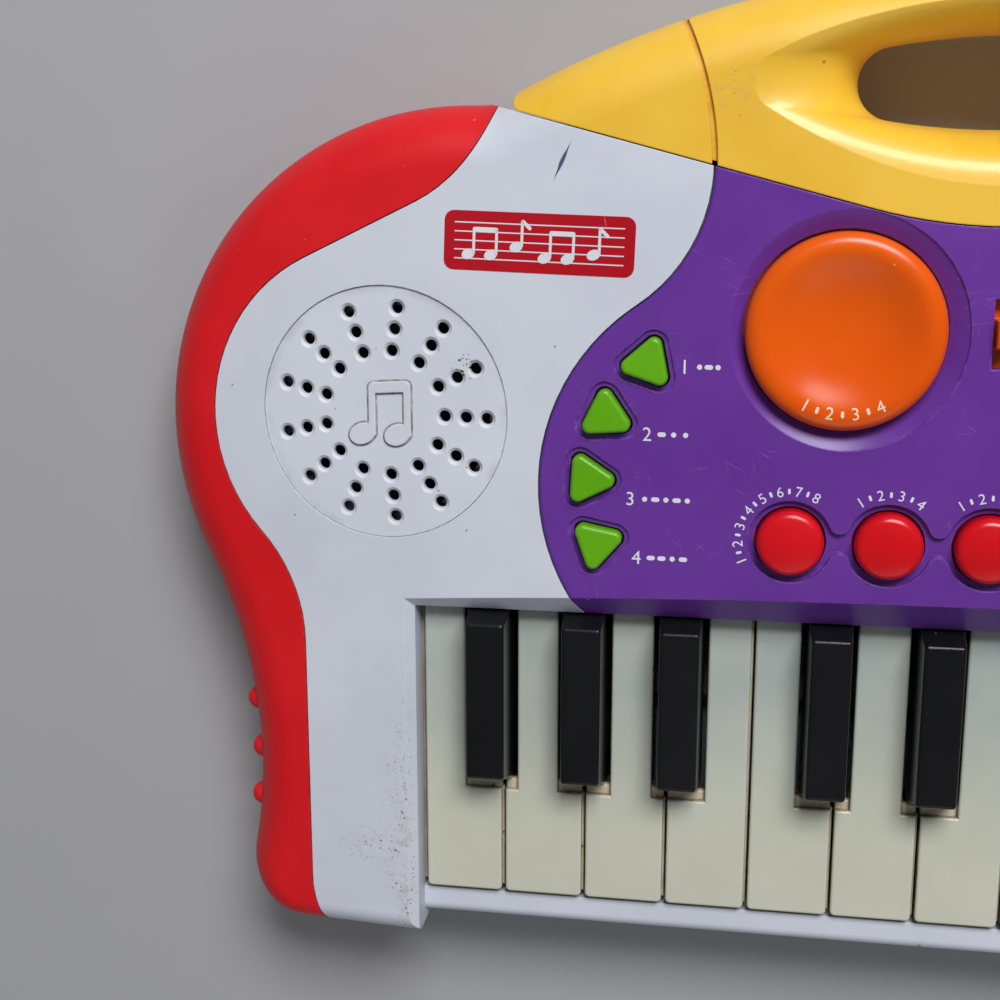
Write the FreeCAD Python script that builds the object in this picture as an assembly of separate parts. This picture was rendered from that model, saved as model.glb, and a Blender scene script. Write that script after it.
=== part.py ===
import FreeCAD
import Part
import math
import os

# Toy piano lying on its feet: +X along the keys to the right, +Y toward the handle, +Z up.
# The origin lies under the middle of the toy. Lengths are millimetres, angles are degrees.

# Clearances and cuts
overrun = 2.0             # how far a cut runs past the face that it opens
seam_gap = 0.25           # visible line between two covers
insert_gap = 0.1          # round a plate pressed into a hole
touch_gap = 0.3           # between fixed pieces that lie against each other
running_gap = 0.5         # beside or above a piece that moves
shaft_gap = 0.05          # round a shaft

# Whole toy, from front to rear
front_lip = 11.0          # front of the cheeks to the front of the white keys
key_show = 77.0           # visible length of a white key
panel_depth = 89.0        # panel along the middle
handle_depth = 54.5       # handle along the middle
base_height = 2.0         # underside of the case above the table
white_top = 30.0
crown_rise = 12.2         # top of the case along the middle above the white keys
crown_radius = 1650.0     # the top is arched from side to side
parting_height = 16.0

# Keys
key_pitch = 20.0
white_count = 13
key_gap = 0.9
key_hidden = 12.0
white_height = 13.0
key_wall = 1.8
key_roof = 2.4
key_edge_round = 0.7
key_corner_round = 1.2
front_key_gap = 1.2
well_gap = 0.8
key_swing = 3.4
notch_width = 13.0
notch_front = 27.5
black_rise = 10.0
black_base_width = 10.4
black_top_width = 9.2
black_front = 34.0
black_front_run = 3.5
black_rear = 72.75
black_bevel_run = 2.1
black_bevel_drop = 5.6
black_edge_round = 0.9
octave_steps = 7
black_offset_shares = {1: -0.15, 2: 0.0, 3: 0.15, 5: -0.125, 6: 0.125}

# Key pivot and contacts
pivot_back = 24.0
pivot_height = 19.0
pivot_radius = 2.0
pivot_boss_radius = 4.5
white_arm_width = 7.0
black_arm_width = 6.0
arm_height = 5.0
rib_thickness = 2.4
rib_half_depth = 6.0
rib_over_rod = 2.2
rib_steps = (4, 7, 11)
contact_back = 55.0
post_width = 4.0
dome_radius = 3.6
dome_height = 3.0
strip_base = 1.0
strip_half_depth = 7.0
board_thickness = 1.6
board_stand = 3.0
board_rim = 2.0
board_rib_count = 6

# Case, bumpers and handle
cheek_width = 28.4
bumper_reach = 64.5
heel_reach = 47.2
heel_radius = 15.0
shoulder_radius = 75.0
shoulder_drop = 28.3
corner_blend = 8.0
waist_radius = 120.0
side_round = 13.0
front_round = 6.0
under_round = 10.0
skin = 2.4
case_wall = 1.9
roof_thickness = 3.0
floor_thickness = 2.6
ledge_drop = 5.0
ledge_width = 3.0
cheek_wall = 2.0
cheek_back = 14.0
rail_setback = 2.5
rail_below_keys = 2.0
rail_wall = 1.8
rail_round = 3.0
bevel_rise = 4.7
lip_reach = 1.6
lip_thickness = 3.0
bulb_out = 8.5
bulb_back = 43.3
bulb_radius = 41.5
neck_radius = 40.0
toe_radius = 25.0
toe_rise = 13.4
collar_slope = 25.3
collar_run = 30.0
collar_radius = 35.0
nub_radius = 3.0
nub_first = 19.2
nub_pitch = 13.1
nub_count = 3
nub_height_share = 0.7
nub_sink_share = 0.17
handle_slope = 15.1
handle_edge_radius = 111.0
handle_radius = 238.0
handle_lift = 3.0
handle_top_round = 14.0
handle_under_round = 11.0
handle_wall = 3.0
handle_tip_round = 3.0
handle_tip_spare = 0.1
grip_rise = 30.0
grip_half_length = 32.0
grip_half_width = 10.0
grip_end_radius = 8.0
dish_half_length = 72.0
dish_half_width = 24.0
dish_end_radius = 4.0
dish_flare_shares = ((0.0, 0.0), (0.45, 0.1), (0.8, 0.34), (0.93, 0.6), (1.0, 1.0))
under_half_length = 58.0
under_half_width = 15.0
dish_over = 0.6
grip_land = 3.0
groove_radius = 70.0
groove_width = 1.2
groove_depth = 0.8
groove_lean = 12.0

# Panel and buttons
panel_thickness = 3.5
panel_edge_round = 0.8
panel_neck_half = 62.0
panel_neck_radius = 36.8
panel_lobe_radius = 50.3
lobe_out = 49.9
lobe_back = 29.7
rhythm_radius = 38.8
rhythm_first = 131.5
rhythm_turn = 22.6
rhythm_count = 4
rhythm_reach = 7.8
rhythm_corner = 1.8
rhythm_rise = 2.2
rhythm_edge_round = 1.0
rhythm_rim = 1.6
rhythm_rim_depth = 0.5
instrument_count = 5
instrument_pitch = 21.5
instrument_back = 19.2
instrument_radius = 7.5
instrument_rise = 3.4
instrument_edge_round = 2.1
instrument_sphere = 26.0
chain_radius = 9.4
chain_depth = 1.2
chain_round = 2.2
pad_out = 33.0
pad_back = 66.4
pad_radius = 21.5
pad_rise = 3.2
pad_dish_depth = 3.6
pad_profile_shares = ((1.0, 0.8), (0.96, 0.22), (0.87, 0.0), (0.72, 0.17), (0.47, 0.67), (0.23, 0.92),
                      (0.0, 1.0))
pad_ring_radius = 26.2
pad_ring_depth = 2.2
flange_reach = 1.8
flange_thickness = 1.4
stem_radius = 2.4
button_travel = 2.0
slider_back = 66.4
slider_slot_length = 15.0
slider_slot_width = 4.6
slider_knob_length = 6.0
slider_rise = 2.6
slider_plate_length = 20.0
slider_plate_width = 9.0
slider_stem_width = 3.0
slider_edge_round = 0.8

# Board below the panel
main_board_height = 26.0
main_board_half = 92.0
main_board_front = 14.0
main_board_rear = 80.0
membrane_base = 1.0
membrane_dome_radius = 3.0
membrane_dome_height = 1.6
panel_post_radius = 3.0
panel_posts = ((-56.0, 36.0), (56.0, 36.0), (0.0, 46.0), (-60.0, 78.0), (60.0, 78.0))
switch_length = 14.0
switch_width = 7.0
switch_height = 3.6

# Speakers
speaker_out = 7.4
speaker_back = 45.2
grille_radius = 29.7
grille_recess = 0.4
grille_thickness = 2.2
grille_ledge = 2.4
grille_spokes = 13
grille_turn = 8.2
grille_ring_shares = (0.836, 0.668, 0.497)
grille_hole_radius = 1.4
grille_sink_radius = 2.1
grille_sink_depth = 0.7
basket_radius = 28.4
basket_flange = 1.6
basket_opening = 25.0
basket_depth = 11.0
basket_wall = 1.0
magnet_radius = 14.0
magnet_depth = 8.0
cone_rim = 24.2
cone_throat = 7.0
cone_depth = 6.5
cone_wall = 0.6
cap_rise = 2.6

# Batteries, screws and feet
battery_count = 3
battery_radius = 7.2
battery_length = 49.2
battery_tip_radius = 2.7
battery_tip = 1.3
battery_pitch = 15.4
battery_back = 58.0
bay_half_length = 31.0
bay_wall = 1.8
bay_roof = 1.8
door_thickness = 2.2
door_rim = 2.6
door_gap = 0.5
contact_thickness = 0.5
contact_height = 10.0
contact_width = 9.0
contact_bump_radius = 2.2
screw_spots = ((145.0, -90.0), (145.0, -38.0), (100.0, 66.0))
screw_radius = 1.5
screw_length = 19.0
screw_head_radius = 3.2
screw_head_height = 2.2
screw_well_radius = 4.0
screw_well_depth = 5.0
boss_wall = 2.0
foot_radius = 8.0
foot_sink = 1.2
foot_spots = ((140.0, -94.0), (112.0, 58.0))
foot_edge_round = 0.6

# Sizes that follow from the ones above
depth = front_lip + key_show + panel_depth + handle_depth
front = -depth / 2
rear = depth / 2
key_front = front + front_lip
panel_edge = key_front + key_show
lip_front = panel_edge - lip_reach
handle_edge = panel_edge + panel_depth
keyboard_half = key_pitch * white_count / 2
well_half = keyboard_half + well_gap
crown_top = white_top + crown_rise
sky = crown_top + crown_rise
bevel_foot = white_top + bevel_rise
rail_top = white_top - rail_below_keys
shoulder_top = rear - shoulder_drop
pivot_y = panel_edge + pivot_back
contact_y = key_front + contact_back
contact_drop = (pivot_y - contact_y) * math.sin(math.radians(key_swing))
key_low = white_top - white_height
key_rear = panel_edge + key_hidden
floor_top = base_height + floor_thickness
key_board_low = floor_top + board_stand
strip_low = key_board_low + board_thickness
dome_top = strip_low + strip_base + dome_height
post_low = dome_top + contact_drop + running_gap
under_inset = skin + touch_gap
deep_inset = under_inset + case_wall
speaker_x = keyboard_half + speaker_out
speaker_y = panel_edge + speaker_back
membrane_low = main_board_height + board_thickness
membrane_top = membrane_low + membrane_base + membrane_dome_height
grip_height = (base_height + handle_lift + crown_top) / 2
document = FreeCAD.newDocument("toy_piano")


def spot(x, y, z=0):
    return FreeCAD.Vector(x, y, z)


across = spot(1, 0, 0)
along = spot(0, 1, 0)
upward = spot(0, 0, 1)
origin = spot(0, 0, 0)


def polar(centre, radius, angle):
    turn = math.radians(angle)
    return spot(centre.x + radius * math.cos(turn), centre.y + radius * math.sin(turn), centre.z)


def bearing(centre, point):
    return math.degrees(math.atan2(point.y - centre.y, point.x - centre.x)) % 360


def arc_edge(centre, radius, start, end):
    middle = polar(centre, radius, (start + end) / 2)
    return Part.Arc(polar(centre, radius, start), middle, polar(centre, radius, end)).toShape()


def line_edge(first, second):
    return Part.LineSegment(first, second).toShape()


def mirrored(shape):
    return shape.mirror(origin, across)


def face_of(edges):
    return Part.Face(Part.Wire(Part.__sortEdges__(edges)))


def raised(face, low, high):
    lifted = face.copy()
    lifted.translate(upward * low)
    return lifted.extrude(upward * (high - low))


def block(x_low, x_high, y_low, y_high, z_low, z_high):
    return Part.makeBox(x_high - x_low, y_high - y_low, z_high - z_low, spot(x_low, y_low, z_low))


def post(x, y, radius, z_low, z_high):
    return Part.makeCylinder(radius, z_high - z_low, spot(x, y, z_low))


def side_shape(edges, x_low, x_high):
    flat = face_of(edges)
    flat.translate(across * x_low)
    return flat.extrude(across * (x_high - x_low))


def side_polygon(points, x_low, x_high):
    corners = [spot(0, y, z) for y, z in points]
    return side_shape(Part.makePolygon(corners + corners[:1]).Edges, x_low, x_high)


def crown_height(x, drop=0):
    radius = crown_radius - drop
    return crown_top - crown_radius + math.sqrt(radius * radius - x * x)


def below_crown(drop):
    start = spot(0, front - overrun, crown_top - crown_radius)
    arch = Part.makeCylinder(crown_radius - drop, depth + 2 * overrun, start, along)
    arch.rotate(start, along, 180)
    return arch


def above_crown(plan, drop):
    return raised(plan, parting_height, sky).cut(below_crown(drop))


def between_crowns(plan, drop_high, drop_low):
    return raised(plan, parting_height, sky).common(below_crown(drop_high)).cut(below_crown(drop_low))


def rounded(shape, pairs):
    base = document.addObject("Part::Feature", "Base")
    base.Shape = shape
    feature = document.addObject("Part::Fillet", "Rounded")
    feature.Base = base
    feature.Edges = pairs
    document.recompute()
    return feature.Shape


def edges_where(shape, test):
    return [edge for edge in shape.Edges if test(edge.BoundBox)]


def bridge_centre(first, first_radius, second, second_radius, radius):
    gap = second - first
    reach = first_radius + radius
    along_gap = (reach ** 2 - (second_radius + radius) ** 2 + gap.Length ** 2) / (2 * gap.Length)
    off_gap = math.sqrt(reach ** 2 - along_gap ** 2)
    unit = gap * (1 / gap.Length)
    return first + unit * along_gap + spot(unit.y, -unit.x) * off_gap


def body_plan(inset):
    shoulder = spot(-keyboard_half - bumper_reach + shoulder_radius, shoulder_top - shoulder_radius)
    heel = spot(-keyboard_half - heel_reach + heel_radius, front + heel_radius)
    waist = bridge_centre(shoulder, shoulder_radius, heel, heel_radius, waist_radius)
    upper = bearing(shoulder, waist)
    lower = bearing(heel, waist)
    middle = spot(0, rear - handle_radius)
    blend_y = shoulder_top + corner_blend
    blend_x = -math.sqrt((handle_radius + corner_blend) ** 2 - (blend_y - middle.y) ** 2)
    blend = spot(blend_x, blend_y)
    lean = bearing(middle, blend)
    top_left = polar(shoulder, shoulder_radius - inset, 90)
    low_left = polar(heel, heel_radius - inset, 270)
    half = [arc_edge(blend, corner_blend + inset, lean + 180, 270),
            line_edge(spot(blend_x, top_left.y), top_left),
            arc_edge(shoulder, shoulder_radius - inset, 90, upper),
            arc_edge(waist, waist_radius + inset, upper - 180, lower - 180),
            arc_edge(heel, heel_radius - inset, lower, 270)]
    edges = half + [mirrored(edge) for edge in half]
    edges.append(arc_edge(middle, handle_radius - inset, 180 - lean, lean))
    edges.append(line_edge(low_left, spot(-low_left.x, low_left.y)))
    return face_of(edges)


def body_form(inset, drop, lift):
    shape = raised(body_plan(inset), base_height + lift, sky).common(below_crown(drop))
    heel_end = front + 2 * heel_radius
    pairs = []
    for number, edge in enumerate(shape.Edges, 1):
        box = edge.BoundBox
        level = box.ZMin > parting_height
        if level and box.YMax < heel_end and box.YLength > overrun:
            starts_low = edge.valueAt(edge.FirstParameter).y < edge.valueAt(edge.LastParameter).y
            radii = (front_round, side_round) if starts_low else (side_round, front_round)
            pairs.append((number, radii[0] - inset, radii[1] - inset))
        elif level and box.YMax < heel_end:
            pairs.append((number, front_round - inset, front_round - inset))
        elif level:
            pairs.append((number, side_round - inset, side_round - inset))
    shape = rounded(shape, pairs)
    under = edges_where(shape, lambda box: box.ZMax < base_height + lift + touch_gap)
    return shape.makeFillet(under_round - inset, under)


def white_plan(inset):
    line_x = -keyboard_half - cheek_width
    toe = spot(line_x + toe_radius, front + toe_rise)
    bulb = spot(-keyboard_half - bulb_out, panel_edge + bulb_back)
    neck_x = line_x - neck_radius
    neck_y = bulb.y - math.sqrt((bulb_radius + neck_radius) ** 2 - (bulb.x - neck_x) ** 2)
    neck = spot(neck_x, neck_y)
    toe_turn = math.degrees(math.asin((toe_rise + overrun) / (toe_radius - inset)))
    leave = bearing(bulb, neck)
    collar_start = polar(bulb, bulb_radius - inset, 90 + collar_slope)
    collar_end = polar(collar_start, collar_run, collar_slope)
    collar = polar(collar_end, collar_radius + inset, 90 + collar_slope)
    half = [arc_edge(toe, toe_radius - inset, 180 + toe_turn, 180),
            line_edge(spot(line_x + inset, toe.y), spot(line_x + inset, neck.y)),
            arc_edge(neck, neck_radius + inset, 0, leave - 180),
            arc_edge(bulb, bulb_radius - inset, leave, 90 + collar_slope),
            line_edge(collar_start, collar_end),
            arc_edge(collar, collar_radius + inset, collar_slope - 90, 0)]
    first = polar(toe, toe_radius - inset, 180 + toe_turn)
    last = polar(collar, collar_radius + inset, 0)
    edges = half + [mirrored(edge) for edge in half]
    edges.append(line_edge(first, spot(-first.x, first.y)))
    edges.append(line_edge(last, spot(-last.x, last.y)))
    return face_of(edges)


def handle_plan(grow):
    centre = spot(0, handle_edge + handle_edge_radius)
    radius = handle_edge_radius + grow
    right = polar(centre, radius, 270 + handle_slope)
    far = polar(right, depth, handle_slope)
    top = rear + depth
    left = spot(-right.x, right.y)
    outline = [arc_edge(centre, radius, 270 - handle_slope, 270 + handle_slope),
               line_edge(right, far),
               line_edge(far, spot(far.x, top)),
               line_edge(spot(far.x, top), spot(-far.x, top)),
               line_edge(spot(-far.x, top), spot(-far.x, far.y)),
               line_edge(spot(-far.x, far.y), left)]
    return face_of(outline)


def handle_zone(grow):
    return raised(handle_plan(grow), -overrun, sky)


def panel_plan(grow, front_y):
    lobe = spot(-lobe_out, panel_edge + lobe_back)
    neck_x = -panel_neck_half - panel_neck_radius
    reach = panel_lobe_radius + panel_neck_radius
    neck = spot(neck_x, lobe.y + math.sqrt(reach ** 2 - (lobe.x - neck_x) ** 2))
    radius = panel_lobe_radius + grow
    start = 180 + math.degrees(math.asin((lobe.y - front_y) / radius))
    join = bearing(lobe, neck)
    half = [arc_edge(lobe, radius, start, join),
            arc_edge(neck, panel_neck_radius - grow, join - 180, 0)]
    first = polar(lobe, radius, start)
    last = polar(neck, panel_neck_radius - grow, 0)
    edges = half + [mirrored(edge) for edge in half]
    edges.append(line_edge(last, spot(last.x, rear)))
    edges.append(line_edge(spot(last.x, rear), spot(-last.x, rear)))
    edges.append(line_edge(spot(-last.x, rear), spot(-last.x, last.y)))
    edges.append(line_edge(first, spot(-first.x, first.y)))
    return face_of(edges)


def level_frame(half_width, y_low, y_high, z):
    corners = [spot(-half_width, y_low, z), spot(half_width, y_low, z), spot(half_width, y_high, z),
               spot(-half_width, y_high, z)]
    return Part.makePolygon(corners + corners[:1])


def mouth(half_width):
    start = front - overrun
    rise = sky - bevel_foot
    frames = [level_frame(half_width, start, lip_front, bevel_foot),
              level_frame(half_width + rise, start, lip_front + rise, sky)]
    well = block(-half_width, half_width, start, lip_front, -overrun, sky)
    return well.fuse(Part.makeLoft(frames, True, True))


def front_lip_form(half_width, grow):
    run = (lip_thickness + grow) * math.sqrt(2)
    foot = bevel_foot - grow
    rise = sky - foot
    outline = ((lip_front, foot), (lip_front + run, foot), (lip_front + run + rise, sky), (lip_front, sky))
    return side_polygon(outline, -half_width, half_width).common(below_crown(0))


def case_shell():
    white = raised(white_plan(0), -overrun, sky)
    outer = body_form(0, 0, 0).common(white)
    outer = outer.fuse(body_form(under_inset, under_inset, under_inset))
    outer = outer.cut(handle_zone(seam_gap))
    hollow = body_form(deep_inset, roof_thickness, floor_thickness)
    hollow = hollow.common(raised(white_plan(case_wall), -overrun, sky))
    hollow = hollow.cut(above_crown(panel_plan(ledge_width, lip_front - ledge_width), ledge_drop))
    ring = face_of([Part.makeCircle(grille_radius + ledge_width, spot(-speaker_x, speaker_y))])
    ring_block = above_crown(ring, ledge_drop)
    hollow = hollow.cut(ring_block).cut(mirrored(ring_block))
    hollow = hollow.fuse(body_form(deep_inset, ledge_drop, deep_inset))
    hollow = hollow.cut(handle_zone(seam_gap + case_wall))
    return outer, outer.cut(hollow)


def rail():
    low = front + rail_setback
    high = key_front - front_key_gap
    bend = spot(0, low + rail_round, rail_top - rail_round)
    half = rail_round * math.sqrt(2) / 2
    corner = Part.Arc(spot(0, low, bend.z), spot(0, bend.y - half, bend.z + half),
                      spot(0, bend.y, rail_top)).toShape()
    inner_top = rail_top - rail_wall
    outline = [line_edge(spot(0, low, parting_height), spot(0, low, bend.z)), corner,
               line_edge(spot(0, bend.y, rail_top), spot(0, high, rail_top)),
               line_edge(spot(0, high, rail_top), spot(0, high, parting_height)),
               line_edge(spot(0, high, parting_height), spot(0, low, parting_height))]
    solid = side_shape(outline, -well_half, well_half)
    return solid.cut(block(-well_half, well_half, low + rail_wall, high - rail_wall,
                           parting_height - overrun, inner_top))


def screw_places():
    return [(side * x, y) for x, y in screw_spots for side in (-1, 1)]


def upper_case(outer, shell):
    shape = shell.common(block(-depth, depth, front - overrun, rear, parting_height, sky))
    shape = shape.cut(mouth(well_half))
    wall = block(-well_half - cheek_wall, -well_half, front, panel_edge + cheek_back, parting_height, sky)
    walls = wall.fuse(mirrored(wall)).common(outer).cut(mouth(well_half))
    lip = front_lip_form(well_half, 0).cut(mouth(well_half))
    shape = shape.fuse([walls, rail(), lip])
    for x, y in screw_places():
        column = post(x, y, screw_radius + boss_wall, parting_height, crown_height(x) - roof_thickness / 2)
        shape = shape.fuse(column)
        tip = base_height + screw_well_depth + screw_head_height / 2 + screw_length
        shape = shape.cut(post(x, y, screw_radius + shaft_gap, parting_height - overrun, tip + running_gap))
    panel_room = panel_plan(seam_gap, lip_front - ledge_width)
    shape = shape.cut(above_crown(panel_room, panel_thickness))
    shape = shape.cut(front_lip_form(well_half, touch_gap).common(raised(panel_room, parting_height, sky)))
    opening = raised(panel_plan(-ledge_width, lip_front), parting_height - overrun, sky)
    shape = shape.cut(opening.cut(handle_zone(seam_gap + case_wall + ledge_width)))
    for x, y in pad_places():
        shape = shape.cut(post(x, y, pad_radius + flange_reach + running_gap, parting_height, sky))
    for side in (-1, 1):
        hole = face_of([Part.makeCircle(grille_radius + insert_gap, spot(side * speaker_x, speaker_y))])
        shape = shape.cut(above_crown(hole, grille_recess + grille_thickness))
        inside = grille_radius - grille_ledge
        shape = shape.cut(post(side * speaker_x, speaker_y, inside, parting_height, sky))
    return shape.removeSplitter()


def lower_case(shell):
    shape = shell.common(block(-depth, depth, front - overrun, rear, 0, parting_height))
    shape = shape.cut(block(-well_half, well_half, front - overrun, front + rail_setback, 0, sky))
    for x in rib_places():
        rib = block(x - rib_thickness / 2, x + rib_thickness / 2, pivot_y - rib_half_depth,
                    pivot_y + rib_half_depth, floor_top - floor_thickness / 2,
                    pivot_height + pivot_radius + rib_over_rod)
        shape = shape.fuse(rib)
    bore = Part.makeCylinder(pivot_radius + shaft_gap, 2 * rod_half() + 2 * overrun,
                             spot(-rod_half() - overrun, pivot_y, pivot_height), across)
    shape = shape.cut(bore)
    for number in range(board_rib_count):
        x = keyboard_half * (2 * number / (board_rib_count - 1) - 1)
        x = x * (1 - board_rim / keyboard_half)
        shape = shape.fuse(block(x - board_rim, x + board_rim, contact_y - strip_half_depth,
                                 contact_y + strip_half_depth, floor_top - floor_thickness / 2,
                                 key_board_low))
    bay_half = battery_bay_half()
    bay_y = panel_edge + battery_back
    roof = bay_ceiling()
    bay_reach = bay_half_length + bay_wall
    shape = shape.fuse(block(-bay_reach, bay_reach, bay_y - bay_half - bay_wall, bay_y + bay_half + bay_wall,
                             floor_top - floor_thickness / 2, roof + bay_roof))
    shape = shape.cut(block(-bay_half_length, bay_half_length, bay_y - bay_half, bay_y + bay_half, 0, roof))
    shape = shape.cut(door_block(door_gap, base_height - overrun))
    for x, y in screw_places():
        outer_radius = screw_well_radius + boss_wall
        shape = shape.fuse(post(x, y, outer_radius, floor_top - floor_thickness / 2, parting_height))
        well_top = base_height + screw_well_depth + screw_head_height
        shape = shape.cut(post(x, y, screw_well_radius, 0, well_top))
        shape = shape.cut(post(x, y, screw_radius + shaft_gap, 0, parting_height + overrun))
    for x, y in foot_places():
        shape = shape.cut(post(x, y, foot_radius + touch_gap, 0, base_height + foot_sink))
    return shape


def rod_half():
    return well_half + 2 * rib_thickness


def rib_places():
    ends = [-well_half - rib_thickness / 2 - well_gap, well_half + rib_thickness / 2 + well_gap]
    return ends + [step * key_pitch - keyboard_half for step in rib_steps]


def battery_bay_half():
    return battery_pitch * battery_count / 2 + touch_gap


def battery_axis_height():
    return base_height + door_thickness + touch_gap + battery_radius


def bay_ceiling():
    return battery_axis_height() + battery_radius + running_gap


def door_block(grow, low):
    reach = bay_half_length + door_rim + grow
    half = battery_bay_half() + door_rim + grow
    y = panel_edge + battery_back
    return block(-reach, reach, y - half, y + half, low, base_height + door_thickness)


def battery_door():
    shape = door_block(0, base_height)
    y = panel_edge + battery_back
    for step in range(-2, 3):
        x = step * door_rim
        shape = shape.cut(block(x - door_gap, x + door_gap, y - battery_pitch / 2, y + battery_pitch / 2,
                                base_height - overrun, base_height + door_gap))
    return shape


def battery_lines():
    middle = (battery_count - 1) / 2
    return [panel_edge + battery_back + (number - middle) * battery_pitch for number in range(battery_count)]


def batteries():
    solids = []
    for number, y in enumerate(battery_lines()):
        start = spot(-battery_length / 2, y, battery_axis_height())
        cell = Part.makeCylinder(battery_radius, battery_length - battery_tip, start, across)
        tip_start = start + across * (battery_length - battery_tip)
        cell = cell.fuse(Part.makeCylinder(battery_tip_radius, battery_tip, tip_start, across))
        if number % 2:
            cell = mirrored(cell)
        solids.append(cell)
    return Part.makeCompound(solids)


def battery_contacts():
    solids = []
    for y in battery_lines():
        for side in (-1, 1):
            outside = side * bay_half_length
            inside = outside - side * contact_thickness
            low = battery_axis_height() - contact_height / 2
            plate = block(min(outside, inside), max(outside, inside), y - contact_width / 2,
                          y + contact_width / 2, low, low + contact_height)
            gap = bay_half_length - battery_length / 2 - contact_thickness - touch_gap
            bump = Part.makeCone(contact_bump_radius, contact_bump_radius / 2, gap,
                                 spot(inside, y, battery_axis_height()), across * -side)
            solids.append(plate.fuse(bump))
    return Part.makeCompound(solids)


def foot_places():
    return [(side * x, y) for x, y in foot_spots for side in (-1, 1)]


def feet():
    solids = []
    for x, y in foot_places():
        pad = post(x, y, foot_radius, 0, base_height + foot_sink)
        low = edges_where(pad, lambda box: box.ZMax < base_height / 2)
        solids.append(pad.makeFillet(foot_edge_round, low))
    return Part.makeCompound(solids)


def case_screws():
    solids = []
    for x, y in screw_places():
        low = base_height + screw_well_depth
        half = low + screw_head_height / 2
        head = post(x, y, screw_head_radius, low, low + screw_head_height)
        head = head.cut(block(x - screw_head_radius, x + screw_head_radius, y - door_gap, y + door_gap,
                              low - overrun, half))
        solids.append(head.fuse(post(x, y, screw_radius, half, half + screw_length)))
    return Part.makeCompound(solids)


def bumper():
    shape = body_form(0, 0, 0).cut(body_form(skin, skin, skin))
    shape = shape.cut(raised(white_plan(-seam_gap), -overrun, sky)).cut(handle_zone(seam_gap))
    left = shape.common(block(-depth, 0, -depth, depth, -overrun, sky))
    for number in range(nub_count):
        y = key_front + nub_first + number * nub_pitch
        z = crown_height(keyboard_half + heel_reach) * nub_height_share
        probe = Part.makeLine(spot(-depth, y, z), spot(0, y, z)).common(left)
        sink = nub_radius * nub_sink_share
        ball = Part.makeSphere(nub_radius, spot(probe.BoundBox.XMin + sink, y, z))
        left = left.fuse(ball.cut(body_form(skin, skin, skin)))
    return left


def lens_wire(half_length, half_width, end_radius, z):
    long_radius = ((half_length - end_radius) ** 2 / (half_width - end_radius) + end_radius + half_width) / 2
    middle = handle_edge + grip_rise
    low = spot(0, middle - long_radius + half_width, z)
    high = spot(0, middle + long_radius - half_width, z)
    right = spot(half_length - end_radius, middle, z)
    left = spot(end_radius - half_length, middle, z)
    lean = bearing(low, right)
    return Part.Wire([arc_edge(low, long_radius, 180 - lean, lean),
                      arc_edge(right, end_radius, lean, -lean),
                      arc_edge(high, long_radius, -lean, lean - 180),
                      arc_edge(left, end_radius, lean - 180, -180 - lean)])


def grip_hole(grow):
    low = base_height + handle_lift - dish_over
    high = crown_top + dish_over
    wide = (dish_half_length + grow, dish_half_width + grow, dish_end_radius + grow)
    narrow = (grip_half_length + grow, grip_half_width + grow, grip_end_radius + grow)
    below = (under_half_length + grow, under_half_width + grow, dish_end_radius + grow)
    upper_land = grip_height + grip_land / 2
    lower_land = grip_height - grip_land / 2
    wires = []
    for climb, spread in dish_flare_shares:
        sizes = [least + spread * (most - least) for least, most in zip(narrow, wide)]
        wires.append(lens_wire(*sizes, upper_land + climb * (high - upper_land)))
    upper = Part.makeLoft(wires, True)
    lower = Part.makeLoft([lens_wire(*below, low), lens_wire(*narrow, lower_land)], True, True)
    land = raised(Part.Face(lens_wire(*narrow, 0)), lower_land, upper_land)
    return land.fuse([upper, lower])


def handle_form(inset):
    centre = spot(0, rear - handle_radius)
    lean = 90 - math.degrees(math.asin(keyboard_half / handle_radius))
    right = polar(centre, handle_radius - inset, lean)
    left = spot(-right.x, right.y)
    foot = panel_edge
    outline = [arc_edge(centre, handle_radius - inset, lean, 180 - lean),
               line_edge(left, spot(left.x, foot)), line_edge(spot(left.x, foot), spot(right.x, foot)),
               line_edge(spot(right.x, foot), right)]
    low = base_height + handle_lift + inset
    shape = raised(face_of(outline), low, sky).common(below_crown(inset))
    top = edges_where(shape, lambda box: box.ZMin > parting_height and box.XLength > depth
                      and box.YMin > handle_edge - overrun)
    shape = shape.makeFillet(handle_top_round - inset, top)
    under = edges_where(shape, lambda box: box.ZMax < low + touch_gap and box.XLength > depth
                        and box.YMin > handle_edge - overrun)
    shape = shape.makeFillet(handle_under_round - inset, under)
    return shape.common(handle_zone(-inset))


def handle_tips():
    ring = Part.makeCircle(handle_radius + handle_tip_spare, spot(0, rear - handle_radius))
    shape = raised(face_of([ring]), 0, sky).common(handle_zone(handle_tip_spare))
    tips = edges_where(shape, lambda box: box.XLength < touch_gap and box.ZLength > parting_height
                       and abs(box.Center.x) > panel_neck_half)
    return shape.makeFillet(handle_tip_round, tips)


def handle_grooves():
    centre = spot(-panel_neck_half - groove_radius, handle_edge + groove_lean)
    outside = raised(Part.Face(Part.Wire(Part.makeCircle(groove_radius + groove_width / 2, centre))), 0, sky)
    inside = raised(Part.Face(Part.Wire(Part.makeCircle(groove_radius - groove_width / 2, centre))), 0, sky)
    ring = outside.cut(inside)
    ring = ring.common(block(-depth, 0, handle_edge, rear + overrun, grip_height + overrun, sky))
    return ring.fuse(mirrored(ring))


def handle_halves():
    hollow = handle_form(handle_wall).cut(grip_hole(handle_wall))
    whole = handle_form(0).cut(grip_hole(0)).common(handle_tips())
    skin_zone = handle_form(0).cut(handle_form(groove_depth))
    shell = whole.cut(hollow).cut(handle_grooves().common(skin_zone))
    top = shell.common(block(-depth, depth, -depth, depth, grip_height, sky))
    under = shell.common(block(-depth, depth, -depth, depth, 0, grip_height))
    return top, under


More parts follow.
